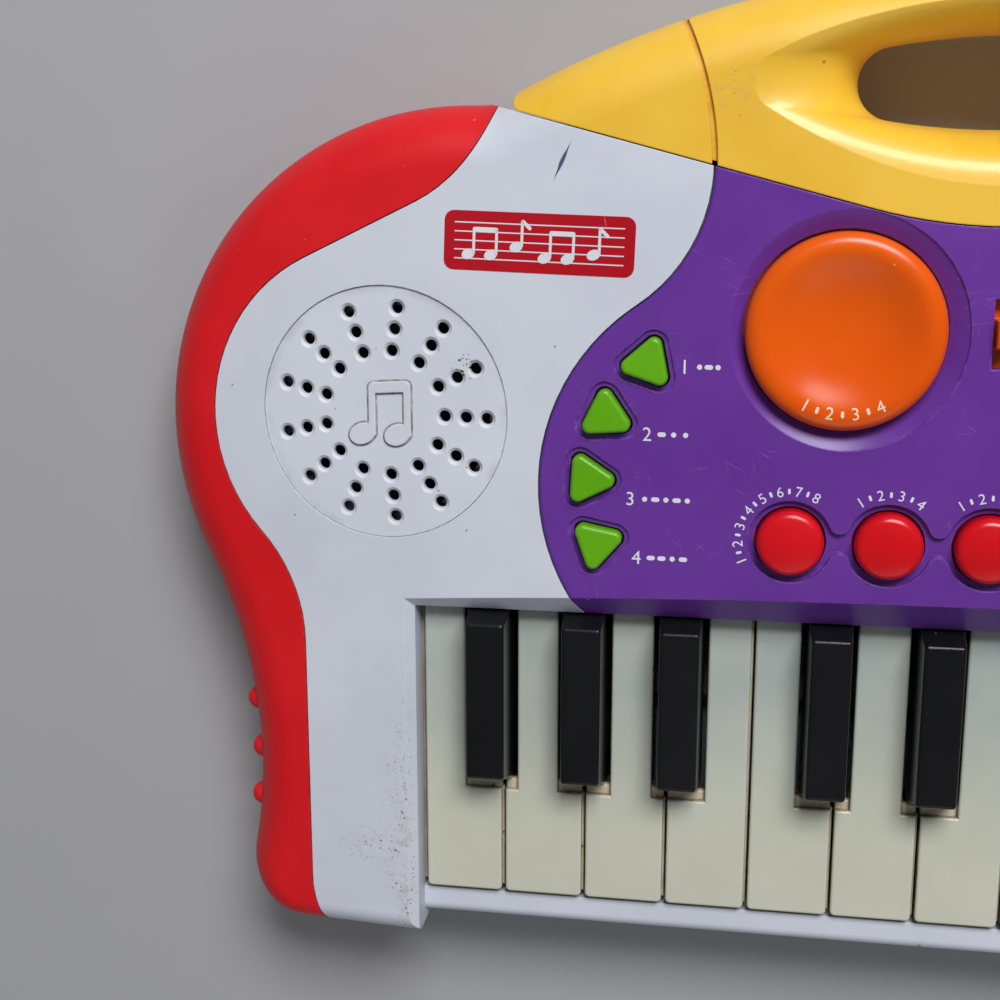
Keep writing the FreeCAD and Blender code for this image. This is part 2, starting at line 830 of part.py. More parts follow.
def triangle_plan(x, y, angle, reach, corner):
    centres = [polar(spot(x, y), reach - 2 * corner, angle + turn) for turn in (0, 120, 240)]
    edges = []
    for number, centre in enumerate(centres):
        heading = angle + 120 * number
        follower = centres[(number + 1) % 3]
        edges.append(arc_edge(centre, corner, heading - 60, heading + 60))
        edges.append(line_edge(polar(centre, corner, heading + 60), polar(follower, corner, heading + 60)))
    return face_of(edges)


def rhythm_places():
    places = []
    for side in (-1, 1):
        for number in range(rhythm_count):
            angle = rhythm_first + number * rhythm_turn
            centre = polar(spot(-lobe_out, panel_edge + lobe_back), rhythm_radius, angle)
            places.append((-side * centre.x, centre.y, angle + 180 if side < 0 else -angle))
    return places


def instrument_places():
    middle = (instrument_count - 1) / 2
    y = panel_edge + instrument_back
    return [((number - middle) * instrument_pitch, y) for number in range(instrument_count)]


def pad_places():
    return [(-pad_out, panel_edge + pad_back), (pad_out, panel_edge + pad_back)]


def panel_rim(shape):
    rim = []
    for edge in shape.Edges:
        middle = edge.valueAt((edge.FirstParameter + edge.LastParameter) / 2)
        ends = [vertex.Point for vertex in edge.Vertexes] + [middle]
        on_top = max(abs(point.z - crown_height(point.x)) for point in ends) < touch_gap
        if on_top and abs(middle.x) > panel_neck_half - touch_gap:
            rim.append(edge)
    return rim


def control_panel():
    plan = panel_plan(0, lip_front)
    shape = between_crowns(plan, 0, panel_thickness)
    lip = front_lip_form(well_half, 0).common(raised(plan, parting_height, sky))
    shape = shape.fuse(lip).cut(mouth(well_half)).cut(handle_zone(seam_gap)).removeSplitter()
    shape = shape.makeFillet(panel_edge_round, panel_rim(shape))
    for x, y in panel_posts:
        column_top = crown_height(x) - panel_thickness / 2
        shape = shape.fuse(post(x, panel_edge + y, panel_post_radius, membrane_low, column_top))
    shape = shape.cut(chain_recess())
    for x, y in instrument_places():
        shape = shape.cut(post(x, y, instrument_radius + running_gap, parting_height, sky))
    for x, y in pad_places():
        level = crown_height(x)
        ring = Part.makeCone(pad_radius + running_gap, pad_ring_radius, pad_ring_depth,
                             spot(x, y, level - pad_ring_depth))
        over = Part.makeCylinder(pad_ring_radius, overrun, spot(x, y, level))
        shape = shape.cut(ring.fuse(over)).cut(post(x, y, pad_radius + running_gap, parting_height, sky))
    for x, y, angle in rhythm_places():
        rim = triangle_plan(x, y, angle, rhythm_reach + 2 * rhythm_rim, rhythm_corner + rhythm_rim)
        hole = triangle_plan(x, y, angle, rhythm_reach + 2 * running_gap, rhythm_corner + running_gap)
        shape = shape.cut(above_crown(rim, rhythm_rim_depth)).cut(raised(hole, parting_height, sky))
    slot_half = slider_slot_width / 2
    slot_y = panel_edge + slider_back
    return shape.cut(block(-slot_half, slot_half, slot_y - slider_slot_length / 2,
                           slot_y + slider_slot_length / 2, parting_height, sky))


def chain_recess():
    places = [spot(x, y) for x, y in instrument_places()]
    half = instrument_pitch / 2
    rise = math.sqrt((chain_radius + chain_round) ** 2 - half ** 2)
    lean = math.degrees(math.atan2(rise, half))
    edges = [arc_edge(places[0], chain_radius, lean, 360 - lean),
             arc_edge(places[-1], chain_radius, 180 + lean, 540 - lean)]
    for place in places[1:-1]:
        edges.append(arc_edge(place, chain_radius, lean, 180 - lean))
        edges.append(arc_edge(place, chain_radius, 180 + lean, 360 - lean))
    for place in places[:-1]:
        edges.append(arc_edge(place + spot(half, rise), chain_round, 180 + lean, 360 - lean))
        edges.append(arc_edge(place + spot(half, -rise), chain_round, lean, 180 - lean))
    return above_crown(face_of(edges), chain_depth)


def flange_level(x, reach):
    return crown_height(abs(x) + reach) - panel_thickness - running_gap


def stem(x, y, radius, high):
    return post(x, y, radius, membrane_top + button_travel + running_gap, high)


def instrument_button(x, y):
    high = crown_height(x) + instrument_rise
    reach = instrument_radius + flange_reach
    level = flange_level(x, reach)
    body = post(x, y, instrument_radius, level - flange_thickness, high)
    body = body.common(Part.makeSphere(instrument_sphere, spot(x, y, high - instrument_sphere)))
    rim = edges_where(body, lambda box: box.ZMin > level and box.ZMax < high - touch_gap
                      and box.ZLength < touch_gap)
    body = body.makeFillet(instrument_edge_round, rim)
    body = body.fuse(post(x, y, reach, level - flange_thickness, level))
    return body.fuse(stem(x, y, stem_radius, level))


def rhythm_button(x, y, angle):
    high = crown_height(x) + rhythm_rise
    level = flange_level(x, rhythm_reach)
    body = raised(triangle_plan(x, y, angle, rhythm_reach, rhythm_corner), level - flange_thickness, high)
    rim = edges_where(body, lambda box: box.ZMin > high - touch_gap)
    body = body.makeFillet(rhythm_edge_round, rim)
    flange = triangle_plan(x, y, angle, rhythm_reach + 2 * flange_reach, rhythm_corner + flange_reach)
    body = body.fuse(raised(flange, level - flange_thickness, level))
    return body.fuse(stem(x, y, stem_radius, level))


def rhythm_pad(x, y):
    high = crown_height(x) + pad_rise
    reach = pad_radius + flange_reach
    level = flange_level(x, reach)
    low = level - flange_thickness
    points = [spot(x + pad_radius * out, y, high - pad_dish_depth * drop) for out, drop in pad_profile_shares]
    crest = Part.BSplineCurve()
    crest.interpolate(points)
    foot = spot(x + pad_radius, y, low)
    outline = [crest.toShape(), line_edge(points[-1], spot(x, y, low)), line_edge(spot(x, y, low), foot),
               line_edge(foot, points[0])]
    body = face_of(outline).revolve(spot(x, y), upward, 360)
    body = body.fuse(post(x, y, reach, low, level))
    return body.fuse(stem(x, y, 2 * stem_radius, level))


def power_slider():
    y = panel_edge + slider_back
    level = flange_level(0, slider_plate_width)
    knob = slider_knob_length / 2
    half = slider_slot_width / 2 - running_gap
    body = block(-half, half, y - knob, y + knob, level - flange_thickness, crown_top + slider_rise)
    top = edges_where(body, lambda box: box.ZMin > crown_top + slider_rise - touch_gap)
    body = body.makeFillet(slider_edge_round, top)
    body = body.fuse(block(-slider_plate_width / 2, slider_plate_width / 2, y - slider_plate_length / 2,
                           y + slider_plate_length / 2, level - flange_thickness, level))
    stem_half = slider_stem_width / 2
    return body.fuse(block(-stem_half, stem_half, y - stem_half, y + stem_half,
                           membrane_low + switch_height + running_gap, level))


def main_board():
    y = panel_edge + slider_back
    shape = block(-main_board_half, main_board_half, panel_edge + main_board_front,
                  panel_edge + main_board_rear, main_board_height, membrane_low)
    return shape.fuse(block(-switch_width / 2, switch_width / 2, y - switch_length / 2, y + switch_length / 2,
                            membrane_low, membrane_low + switch_height))


def button_membrane():
    y = panel_edge + slider_back
    reach = main_board_half - board_rim
    shape = block(-reach, reach, panel_edge + main_board_front + board_rim,
                  panel_edge + main_board_rear - board_rim, membrane_low, membrane_low + membrane_base)
    spots = instrument_places() + pad_places() + [(x, z) for x, z, angle in rhythm_places()]
    domes = [post(x, z, membrane_dome_radius, membrane_low, membrane_top) for x, z in spots]
    shape = shape.fuse(domes)
    for x, back in panel_posts:
        shape = shape.cut(post(x, panel_edge + back, panel_post_radius + running_gap, main_board_height, sky))
    reach = switch_length / 2 + running_gap
    half = switch_width / 2 + running_gap
    return shape.cut(block(-half, half, y - reach, y + reach, main_board_height, sky))


def speaker_grilles():
    solids = []
    for side in (-1, 1):
        x = side * speaker_x
        plan = face_of([Part.makeCircle(grille_radius, spot(x, speaker_y))])
        disc = between_crowns(plan, grille_recess, grille_recess + grille_thickness)
        holes = []
        for spoke in range(grille_spokes):
            angle = 90 + side * (grille_turn + spoke * 360 / grille_spokes)
            for share in grille_ring_shares:
                hole = polar(spot(x, speaker_y), share * grille_radius, angle)
                level = crown_height(hole.x, grille_recess)
                drill = post(hole.x, hole.y, grille_hole_radius, parting_height, sky)
                sink = Part.makeCone(grille_hole_radius, grille_sink_radius, grille_sink_depth,
                                     spot(hole.x, hole.y, level - grille_sink_depth))
                holes.append(drill.fuse([sink, post(hole.x, hole.y, grille_sink_radius, level, sky)]))
        solids.append(disc.cut(Part.makeCompound(holes)))
    return Part.makeCompound(solids)


def placed_speaker(shape):
    tilt = math.degrees(math.asin(speaker_x / crown_radius))
    solid = shape.copy()
    solid.rotate(origin, along, -tilt)
    solid.translate(spot(-speaker_x, speaker_y, crown_height(speaker_x) - ledge_drop - touch_gap))
    return Part.makeCompound([solid, mirrored(solid)])


def speaker_baskets():
    ring = post(0, 0, basket_radius, -basket_flange, 0)
    rim = basket_opening + basket_wall
    drop = basket_depth - basket_flange
    start = spot(0, 0, -basket_depth)
    bowl = Part.makeCone(magnet_radius, rim, drop, start)
    bowl = bowl.cut(Part.makeCone(magnet_radius - basket_wall, basket_opening, drop, start))
    back = post(0, 0, magnet_radius, -basket_depth - basket_wall, -basket_depth)
    ring = ring.cut(post(0, 0, basket_opening, -basket_flange, 0))
    return placed_speaker(ring.fuse([bowl, back]))


def speaker_magnets():
    top = -basket_depth - basket_wall
    return placed_speaker(post(0, 0, magnet_radius + basket_wall, top - magnet_depth, top))


def speaker_cones():
    top = -basket_flange
    low = top - cone_depth
    shape = Part.makeCone(cone_throat, cone_rim, cone_depth, spot(0, 0, low))
    inside = Part.makeCone(cone_throat - cone_wall, cone_rim - cone_wall, cone_depth, spot(0, 0, low))
    shape = shape.cut(inside)
    shape = shape.fuse(post(0, 0, cone_throat, low - cone_wall, low))
    ball = (cone_throat ** 2 + cap_rise ** 2) / (2 * cap_rise)
    cap = Part.makeSphere(ball, spot(0, 0, low + cap_rise - ball))
    cap = cap.common(post(0, 0, cone_throat, low, low + cap_rise))
    coil = post(0, 0, cone_throat, -basket_depth, low)
    return placed_speaker(shape.fuse([cap, coil]))


def black_centres():
    centres = {}
    for step in range(1, white_count):
        if step % octave_steps in black_offset_shares:
            share = black_offset_shares[step % octave_steps]
            centres[step] = (step + share) * key_pitch - keyboard_half
    return centres


def white_outline(number, inset):
    blacks = black_centres()
    left = number * key_pitch - keyboard_half + key_gap / 2
    right = left + key_pitch - key_gap
    tail_left = blacks[number] + notch_width / 2 if number in blacks else left
    tail_right = blacks[number + 1] - notch_width / 2 if number + 1 in blacks else right
    low = key_front + inset
    high = key_rear - inset
    left_turn = key_front + notch_front - inset
    points = [(left + inset, low), (right - inset, low)]
    if tail_right < right:
        points.extend([(right - inset, left_turn), (tail_right - inset, left_turn)])
    points.extend([(tail_right - inset, high), (tail_left + inset, high)])
    if tail_left > left:
        points.extend([(tail_left + inset, left_turn), (left + inset, left_turn)])
    corners = [spot(x, y) for x, y in points]
    return Part.Face(Part.makePolygon(corners + corners[:1])), (tail_left + tail_right) / 2


def key_arm(x, width):
    half = width / 2
    low = key_low
    arm = block(x - half, x + half, key_rear - key_wall / 2, pivot_y, low, low + arm_height)
    boss = Part.makeCylinder(pivot_boss_radius, width, spot(x - half, pivot_y, pivot_height), across)
    return arm.fuse(boss)


def key_bore(x):
    start = spot(x - key_pitch / 2, pivot_y, pivot_height)
    return Part.makeCylinder(pivot_radius + shaft_gap, key_pitch, start, across)


def contact_post(x, roof):
    half = post_width / 2
    return block(x - half, x + half, contact_y - half, contact_y + half, post_low, roof)


def cross_web(y):
    return block(-keyboard_half, keyboard_half, y - key_wall, y + key_wall, 0, sky)


def white_key(number):
    plan, centre = white_outline(number, 0)
    shape = raised(plan, key_low, white_top)
    corners = edges_where(shape, lambda box: box.ZLength > key_roof and box.YMax < key_front + touch_gap)
    shape = shape.makeFillet(key_corner_round, corners)
    rim = edges_where(shape, lambda box: box.ZMin > white_top - touch_gap and box.YMin < key_rear - touch_gap)
    shape = shape.makeFillet(key_edge_round, rim)
    inner, centre = white_outline(number, key_wall)
    pocket = raised(inner, key_low - overrun, white_top - key_roof).cut(cross_web(key_front + notch_front))
    shape = shape.cut(pocket)
    shape = shape.fuse([key_arm(centre, white_arm_width), contact_post(centre, white_top - key_roof / 2)])
    return shape.cut(key_bore(centre))


def black_key(centre):
    top = white_top + black_rise
    low_front = key_front + black_front - black_front_run
    heel = key_front + black_rear + black_bevel_run
    outline = ((low_front, key_low), (low_front, white_top), (key_front + black_front, top),
               (key_front + black_rear, top), (heel, top - black_bevel_drop), (heel, white_top),
               (key_rear, white_top), (key_rear, key_low))
    half = black_base_width / 2
    shape = side_polygon(outline, centre - half, centre + half)
    lean = (black_base_width - black_top_width) / 2
    for side in (-1, 1):
        edge = centre + side * half
        corners = [spot(edge, front, white_top), spot(edge - side * lean, front, top),
                   spot(edge - side * 2 * lean, front, top + black_rise), spot(edge, front, top + black_rise)]
        wedge = Part.Face(Part.makePolygon(corners + corners[:1])).extrude(along * depth)
        shape = shape.cut(wedge)
    crest = edges_where(shape, lambda box: box.ZMax > top - touch_gap and box.ZMin > white_top - touch_gap)
    shape = shape.makeFillet(black_edge_round, crest)
    roof = white_top - key_roof
    pocket = block(centre - half + key_wall, centre + half - key_wall, low_front + key_wall,
                   key_rear - key_wall, key_low - overrun, roof)
    shape = shape.cut(pocket.cut(cross_web(heel)))
    shape = shape.fuse([key_arm(centre, black_arm_width), contact_post(centre, roof + key_roof / 2)])
    return shape.cut(key_bore(centre))


def key_centres():
    return [white_outline(number, 0)[1] for number in range(white_count)] + list(black_centres().values())


def key_board():
    half = keyboard_half
    reach = strip_half_depth + board_rim
    return block(-half, half, contact_y - reach, contact_y + reach, key_board_low, strip_low)


def key_contact_strip():
    half = keyboard_half - board_rim
    shape = block(-half, half, contact_y - strip_half_depth, contact_y + strip_half_depth, strip_low,
                  strip_low + strip_base)
    return shape.fuse([post(x, contact_y, dome_radius, strip_low, dome_top) for x in key_centres()])


def pivot_rod():
    return Part.makeCylinder(pivot_radius, 2 * rod_half(), spot(-rod_half(), pivot_y, pivot_height), across)


def save(name, shape):
    shape.exportStep("parts/" + name + ".step")


os.makedirs("parts", exist_ok=True)
outer_form, hollow_shell = case_shell()
save("upper_case", upper_case(outer_form, hollow_shell))
save("lower_case", lower_case(hollow_shell))
save("control_panel", control_panel())
handle_top, handle_under = handle_halves()
save("handle_front", handle_top)
save("handle_back", handle_under)
left_side = bumper()
save("left_bumper", left_side)
save("right_bumper", mirrored(left_side))
for key_number in range(white_count):
    save("white_key_%d" % (key_number + 1), white_key(key_number))
for key_number, key_x in enumerate(black_centres().values(), 1):
    save("black_key_%d" % key_number, black_key(key_x))
save("key_pivot_rod", pivot_rod())
save("key_contact_strip", key_contact_strip())
save("key_board", key_board())
for button_number, place in enumerate(instrument_places(), 1):
    save("instrument_button_%d" % button_number, instrument_button(*place))
for button_number, place in enumerate(rhythm_places(), 1):
    save("rhythm_button_%d" % button_number, rhythm_button(*place))
save("left_pad", rhythm_pad(*pad_places()[0]))
save("right_pad", rhythm_pad(*pad_places()[1]))
save("power_slider", power_slider())
save("main_board", main_board())
save("button_membrane", button_membrane())
save("speaker_grilles", speaker_grilles())
save("speaker_baskets", speaker_baskets())
save("speaker_magnets", speaker_magnets())
save("speaker_cones", speaker_cones())
save("battery_door", battery_door())
save("batteries", batteries())
save("battery_contacts", battery_contacts())
save("case_screws", case_screws())
save("feet", feet())
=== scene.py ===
import bpy
import bmesh
import math
from mathutils import Matrix, Vector
from mathutils.bvhtree import BVHTree


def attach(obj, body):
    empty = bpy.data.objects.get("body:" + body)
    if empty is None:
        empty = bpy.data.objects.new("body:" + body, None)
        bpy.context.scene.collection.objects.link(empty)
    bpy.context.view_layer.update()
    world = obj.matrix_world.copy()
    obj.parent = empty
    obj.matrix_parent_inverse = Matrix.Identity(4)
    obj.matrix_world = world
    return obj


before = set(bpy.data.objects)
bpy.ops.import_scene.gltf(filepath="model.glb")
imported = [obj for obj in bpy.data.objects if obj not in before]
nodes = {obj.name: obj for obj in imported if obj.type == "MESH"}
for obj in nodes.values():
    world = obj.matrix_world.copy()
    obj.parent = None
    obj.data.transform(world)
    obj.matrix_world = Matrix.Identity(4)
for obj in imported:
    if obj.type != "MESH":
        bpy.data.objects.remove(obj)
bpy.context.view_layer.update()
scene = bpy.context.scene
mm = 0.001
perMetre = 1000  # millimetres
print("frame loaded:", len(nodes), "nodes")


# Small shader helpers
def tone(red, green, blue):
    def linear(part):
        share = part / 255
        return share / 12.92 if share <= 0.04045 else ((share + 0.055) / 1.055) ** 2.4
    return (linear(red), linear(green), linear(blue), 1)


def put(tree, kind, inputs=None, **settings):
    node = tree.nodes.new(kind)
    for name, value in settings.items():
        setattr(node, name, value)
    for name, value in (inputs or {}).items():
        if isinstance(value, bpy.types.NodeSocket):
            tree.links.new(value, node.inputs[name])
        else:
            node.inputs[name].default_value = value
    return node


def calc(tree, operation, *values):
    return put(tree, "ShaderNodeMath", dict(enumerate(values)), operation=operation).outputs[0]


def product(tree, first, *others):
    for other in others:
        first = calc(tree, "MULTIPLY", first, other)
    return first


def span(tree, value, low, high, first=0.0, last=1.0):
    inputs = {"Value": value, "From Min": low, "From Max": high, "To Min": first, "To Max": last}
    return put(tree, "ShaderNodeMapRange", inputs, interpolation_type="SMOOTHSTEP").outputs["Result"]


def mixed(tree, share, first, second):
    return put(tree, "ShaderNodeMix", {0: share, 6: first, 7: second}, data_type="RGBA").outputs[2]


def scaled(tree, place, size):
    # coordinates in steps of a size in millimetres
    return put(tree, "ShaderNodeVectorMath", {0: place, "Scale": calc(tree, "DIVIDE", perMetre, size)},
               operation="SCALE").outputs[0]


planSquash = (1, 1, 0.12)


def flattened(tree, place):
    # plan coordinates for marks on upward faces
    return put(tree, "ShaderNodeVectorMath", {0: place, 1: planSquash}, operation="MULTIPLY").outputs[0]


def around(tree, place, x, y):
    # distance in the plan from a point of the left half and from its twin on the right
    parts = put(tree, "ShaderNodeSeparateXYZ", {0: place}).outputs
    across = calc(tree, "ADD", calc(tree, "ABSOLUTE", parts[0]), x * mm)
    back = calc(tree, "SUBTRACT", parts[1], y * mm)
    return calc(tree, "SQRT", calc(tree, "ADD", product(tree, across, across), product(tree, back, back)))


def cloud(tree, place, detail=2.0, rough=0.5):
    inputs = {"Vector": place, "Scale": 1.0, "Detail": detail, "Roughness": rough}
    return put(tree, "ShaderNodeTexNoise", inputs).outputs[0]


def patches(tree, place, size, low, high, detail=2.0, rough=0.5, first=0.0, last=1.0):
    # soft patches of about a size in millimetres
    return span(tree, cloud(tree, scaled(tree, place, size), detail, rough), low, high, first, last)


def newGroup(name, inputs, outputs):
    group = bpy.data.node_groups.new(name, "ShaderNodeTree")
    for label, kind, value in inputs:
        socket = group.interface.new_socket(name=label, in_out="INPUT", socket_type="NodeSocket" + kind)
        if value is not None:
            socket.default_value = value
    for label, kind in outputs:
        group.interface.new_socket(name=label, in_out="OUTPUT", socket_type="NodeSocket" + kind)
    start = group.nodes.new("NodeGroupInput").outputs
    end = group.nodes.new("NodeGroupOutput").inputs
    return group, start, end


# Shared surface effects
grainPlan = {"detail": 4.0, "rough": 0.6, "low": 0.3, "high": 0.7}


def grainGroup(plan):
    # moulded grain for the bump, and broad patches for colour and gloss
    group, start, end = newGroup("surfaceGrain", [("Place", "Vector", None), ("Grain Size", "Float", 0.8),
                                                  ("Patch Size", "Float", 30.0)],
                                 [("Height", "Float"), ("Patch", "Float")])
    fine = cloud(group, scaled(group, start["Place"], start["Grain Size"]))
    broad = patches(group, start["Place"], start["Patch Size"], **plan)
    group.links.new(fine, end["Height"])
    group.links.new(broad, end["Patch"])
    return group


scratchPlan = {
    "turns": ((0.5, 3.1), (1.35, 7.7), (2.4, 1.9), (2.95, 5.3)),  # angle and shift of each set of lines
    "heightScale": 60, "thin": 0.80, "full": 0.86,
    "gateSize": 14.0, "gateShut": 0.95, "gateReach": 0.6, "gateSoft": 0.08,
}


def scratchGroup(plan):
    # thin straight marks in a few directions, broken up by patches
    group, start, end = newGroup("handlingScratches", [("Place", "Vector", None), ("Length", "Float", 18.0),
                                                       ("Width", "Float", 0.35), ("Amount", "Float", 0.5)],
                                 [("Mask", "Float")])
    total = None
    for angle, shift in plan["turns"]:
        turned = put(group, "ShaderNodeVectorRotate", {"Vector": start["Place"], "Angle": angle}).outputs[0]
        moved = put(group, "ShaderNodeVectorMath", {0: turned, 1: (shift, shift, 0)},
                    operation="ADD").outputs[0]
        parts = put(group, "ShaderNodeSeparateXYZ", {0: moved}).outputs
        along = calc(group, "DIVIDE", product(group, parts[0], perMetre), start["Length"])
        across = calc(group, "DIVIDE", product(group, parts[1], perMetre), start["Width"])
        height = product(group, parts[2], plan["heightScale"])
        stretched = put(group, "ShaderNodeCombineXYZ", {0: along, 1: across, 2: height}).outputs[0]
        line = span(group, cloud(group, stretched, 0.0), plan["thin"], plan["full"])
        total = line if total is None else calc(group, "MAXIMUM", total, line)
    gate = cloud(group, scaled(group, start["Place"], plan["gateSize"]))
    edge = calc(group, "SUBTRACT", plan["gateShut"], product(group, start["Amount"], plan["gateReach"]))
    shown = span(group, gate, edge, calc(group, "ADD", edge, plan["gateSoft"]))
    group.links.new(product(group, total, shown), end["Mask"])
    return group


speckPlan = {"leastSize": 0.3, "wobbleSize": 0.5, "leastWobble": 0.4, "core": 0.55}


def speckGroup(plan):
    # scattered dirt specks of uneven size
    group, start, end = newGroup("dirtSpecks", [("Place", "Vector", None), ("Spacing", "Float", 5.0),
                                                ("Size", "Float", 0.3), ("Amount", "Float", 0.3)],
                                 [("Mask", "Float")])
    cells = put(group, "ShaderNodeTexVoronoi", {"Vector": scaled(group, start["Place"], start["Spacing"]),
                                                "Scale": 1.0, "Randomness": 1.0})
    chance = put(group, "ShaderNodeSeparateXYZ", {0: cells.outputs["Color"]}).outputs
    wobble = cloud(group, scaled(group, start["Place"], plan["wobbleSize"]))
    reach = product(group, start["Size"], calc(group, "ADD", chance[1], plan["leastSize"]),
                    calc(group, "ADD", wobble, plan["leastWobble"]))
    away = product(group, cells.outputs["Distance"], start["Spacing"])
    spot = span(group, away, product(group, reach, plan["core"]), reach, 1.0, 0.0)
    kept = calc(group, "LESS_THAN", chance[0], start["Amount"])
    group.links.new(product(group, spot, kept), end["Mask"])
    return group


edgePlan = {"samples": 4, "flat": 0.99, "turned": 0.82}


def edgeGroup(plan):
    # softened corner normals, and where the corners are
    group, start, end = newGroup("edgeLine", [("Radius", "Float", 0.4)],
                                 [("Normal", "Vector"), ("Mask", "Float")])
    reach = product(group, start["Radius"], mm)
    soft = put(group, "ShaderNodeBevel", {"Radius": reach}, samples=plan["samples"]).outputs[0]
    flat = put(group, "ShaderNodeNewGeometry").outputs["Normal"]
    along = put(group, "ShaderNodeVectorMath", {0: soft, 1: flat}, operation="DOT_PRODUCT").outputs["Value"]
    group.links.new(soft, end["Normal"])
    group.links.new(span(group, along, plan["flat"], plan["turned"]), end["Mask"])
    return group


surfaceGrain = grainGroup(grainPlan)
handlingScratches = scratchGroup(scratchPlan)
dirtSpecks = speckGroup(speckPlan)
edgeLine = edgeGroup(edgePlan)


def use(tree, group, **inputs):
    node = put(tree, "ShaderNodeGroup", node_tree=group)
    for name, value in inputs.items():
        label = {"grain": "Grain Size", "patch": "Patch Size"}.get(name, name.capitalize())
        if isinstance(value, bpy.types.NodeSocket):
            tree.links.new(value, node.inputs[label])
        else:
            node.inputs[label].default_value = value
    return node.outputs


def speckled(tree, place, colour, plan, share=None):
    # dirt specks over a colour, held to where the share is high
    specks = use(tree, dirtSpecks, place=place, spacing=plan["spacing"], size=plan["size"],
                 amount=plan["amount"])["Mask"]
    if share is not None:
        specks = product(tree, specks, share)
    return mixed(tree, product(tree, specks, plan["show"]), colour, tone(*plan["tone"]))


def startMaterial(name):
    material = bpy.data.materials.new(name)
    material.use_nodes = True
    tree = material.node_tree
    shader = tree.nodes["Principled BSDF"]
    place = put(tree, "ShaderNodeTexCoord").outputs["Object"]
    return material, tree, shader, place


surfacePlan = {"bumpDepth": 0.05, "scuffRough": 0.25, "coatRough": 0.08}


def finishSurface(tree, shader, place, colour, plan, scuffs=None):
    # grain bump over softened corners, gloss that varies in patches
    grain = use(tree, surfaceGrain, place=place, grain=plan["grain"], patch=plan["patch"])
    corner = use(tree, edgeLine, radius=plan["corner"])
    bump = put(tree, "ShaderNodeBump", {"Height": grain["Height"], "Normal": corner["Normal"],
                                        "Strength": plan["bump"], "Distance": surfacePlan["bumpDepth"] * mm})
    smooth, dull = plan["rough"] - plan["roughPlay"], plan["rough"] + plan["roughPlay"]
    gloss = span(tree, grain["Patch"], 0.0, 1.0, smooth, dull)
    if scuffs is not None:
        gloss = calc(tree, "ADD", gloss, product(tree, scuffs, surfacePlan["scuffRough"]))
    tree.links.new(colour, shader.inputs["Base Color"])
    tree.links.new(gloss, shader.inputs["Roughness"])
    tree.links.new(bump.outputs["Normal"], shader.inputs["Normal"])
    shader.inputs["Specular IOR Level"].default_value = plan["shine"]
    shader.inputs["Coat Weight"].default_value = plan["coat"]
    shader.inputs["Coat Roughness"].default_value = surfacePlan["coatRough"]


cornerTintPlan = {"reach": 1.5, "breaks": {"size": 2.5, "low": 0.4, "high": 0.65, "detail": 3.0, "rough": 0.6}}


def mouldedPlastic(name, plan, extra=None):
    # coloured plastic with patchy tone, scratches, specks, and corners tinted in an edge tone: wear where
    # that tone is darker, a painted highlight where it is lighter
    material, tree, shader, place = startMaterial(name)
    patch = use(tree, surfaceGrain, place=place, patch=plan["patch"])["Patch"]
    colour = mixed(tree, patch, tone(*plan["deep"]), tone(*plan["main"]))
    cornerMask = use(tree, edgeLine, radius=plan["corner"] * cornerTintPlan["reach"])["Mask"]
    cornerTintShare = product(tree, cornerMask, patches(tree, place, **cornerTintPlan["breaks"]), plan["edge"])
    colour = mixed(tree, cornerTintShare, colour, tone(*plan["wearAndHighlightTone"]))
    marks = use(tree, handlingScratches, place=place, length=plan["scratchLength"],
                width=plan["scratchWidth"], amount=plan["scratches"])["Mask"]
    colour = mixed(tree, product(tree, marks, plan["scratchShow"]), colour, tone(*plan["scratchTone"]))
    specks = {"spacing": plan["speckSpacing"], "size": plan["speckSize"], "amount": plan["specks"],
              "show": plan["speckShow"], "tone": plan["speckTone"]}
    colour = speckled(tree, place, colour, specks)
    if extra:
        colour = extra(tree, place, colour, plan)
    finishSurface(tree, shader, place, colour, plan, marks)
    return material


basePlastic = {
    "patch": 40.0, "grain": 0.9, "bump": 0.12, "corner": 0.35, "rough": 0.32, "roughPlay": 0.04,
    "shine": 0.5, "coat": 0.0, "edge": 0.35, "wearAndHighlightTone": (150, 130, 110),
    "scratches": 0.45, "scratchLength": 16.0, "scratchWidth": 0.3, "scratchShow": 0.35,
    "scratchTone": (235, 235, 238),
    "specks": 0.25, "speckSpacing": 6.0, "speckSize": 0.35, "speckShow": 0.7, "speckTone": (92, 72, 56),
}


# White case, with a painted highlight along its corners
whitePlan = dict(
    basePlastic, main=(210, 215, 226), deep=(202, 207, 219), rough=0.44, bump=0.10, shine=0.36,
    scratches=0.4, scratchShow=0.25, scratchTone=(150, 152, 160), edge=0.6, wearAndHighlightTone=(234, 237, 244),
    specks=0.30, speckSpacing=7.0, speckSize=0.32,
    cheek={"inner": -130.8, "reach": 10.0, "full": 2.0, "wall": 1.5, "rear": -36.0, "front": -92.0,
           "rowOff": 7.0, "rowFull": 1.0, "rowReach": 28.0},
    clumps={"size": 4.0, "low": 0.38, "high": 0.56, "detail": 3.0, "rough": 0.6},
    haze={"size": 3.0, "low": 0.45, "high": 0.7, "detail": 4.0, "rough": 0.7},
    hazeShow=0.5, hazeTone=(172, 156, 132),
    cheekSpecks=({"spacing": 0.8, "size": 0.3, "amount": 0.65, "show": 0.85, "tone": (128, 102, 74)},
                 {"spacing": 1.3, "size": 0.42, "amount": 0.6, "show": 0.85, "tone": (108, 84, 60)},
                 {"spacing": 2.0, "size": 0.5, "amount": 0.5, "show": 0.85, "tone": (58, 48, 42)}),
    loose={"spacing": 8.0, "size": 0.5, "amount": 0.4, "show": 0.75, "tone": (92, 84, 76)},
    streak={"start": (-93.0, 79.8), "end": (-97.5, 70.0), "width": 0.58, "tip": 0.16, "fade": 0.2,
            "core": 0.55, "wobbleSize": 1.6, "wobbleDetail": 3.0, "wobble": 0.5, "show": 0.92,
            "tone": (40, 62, 96)})


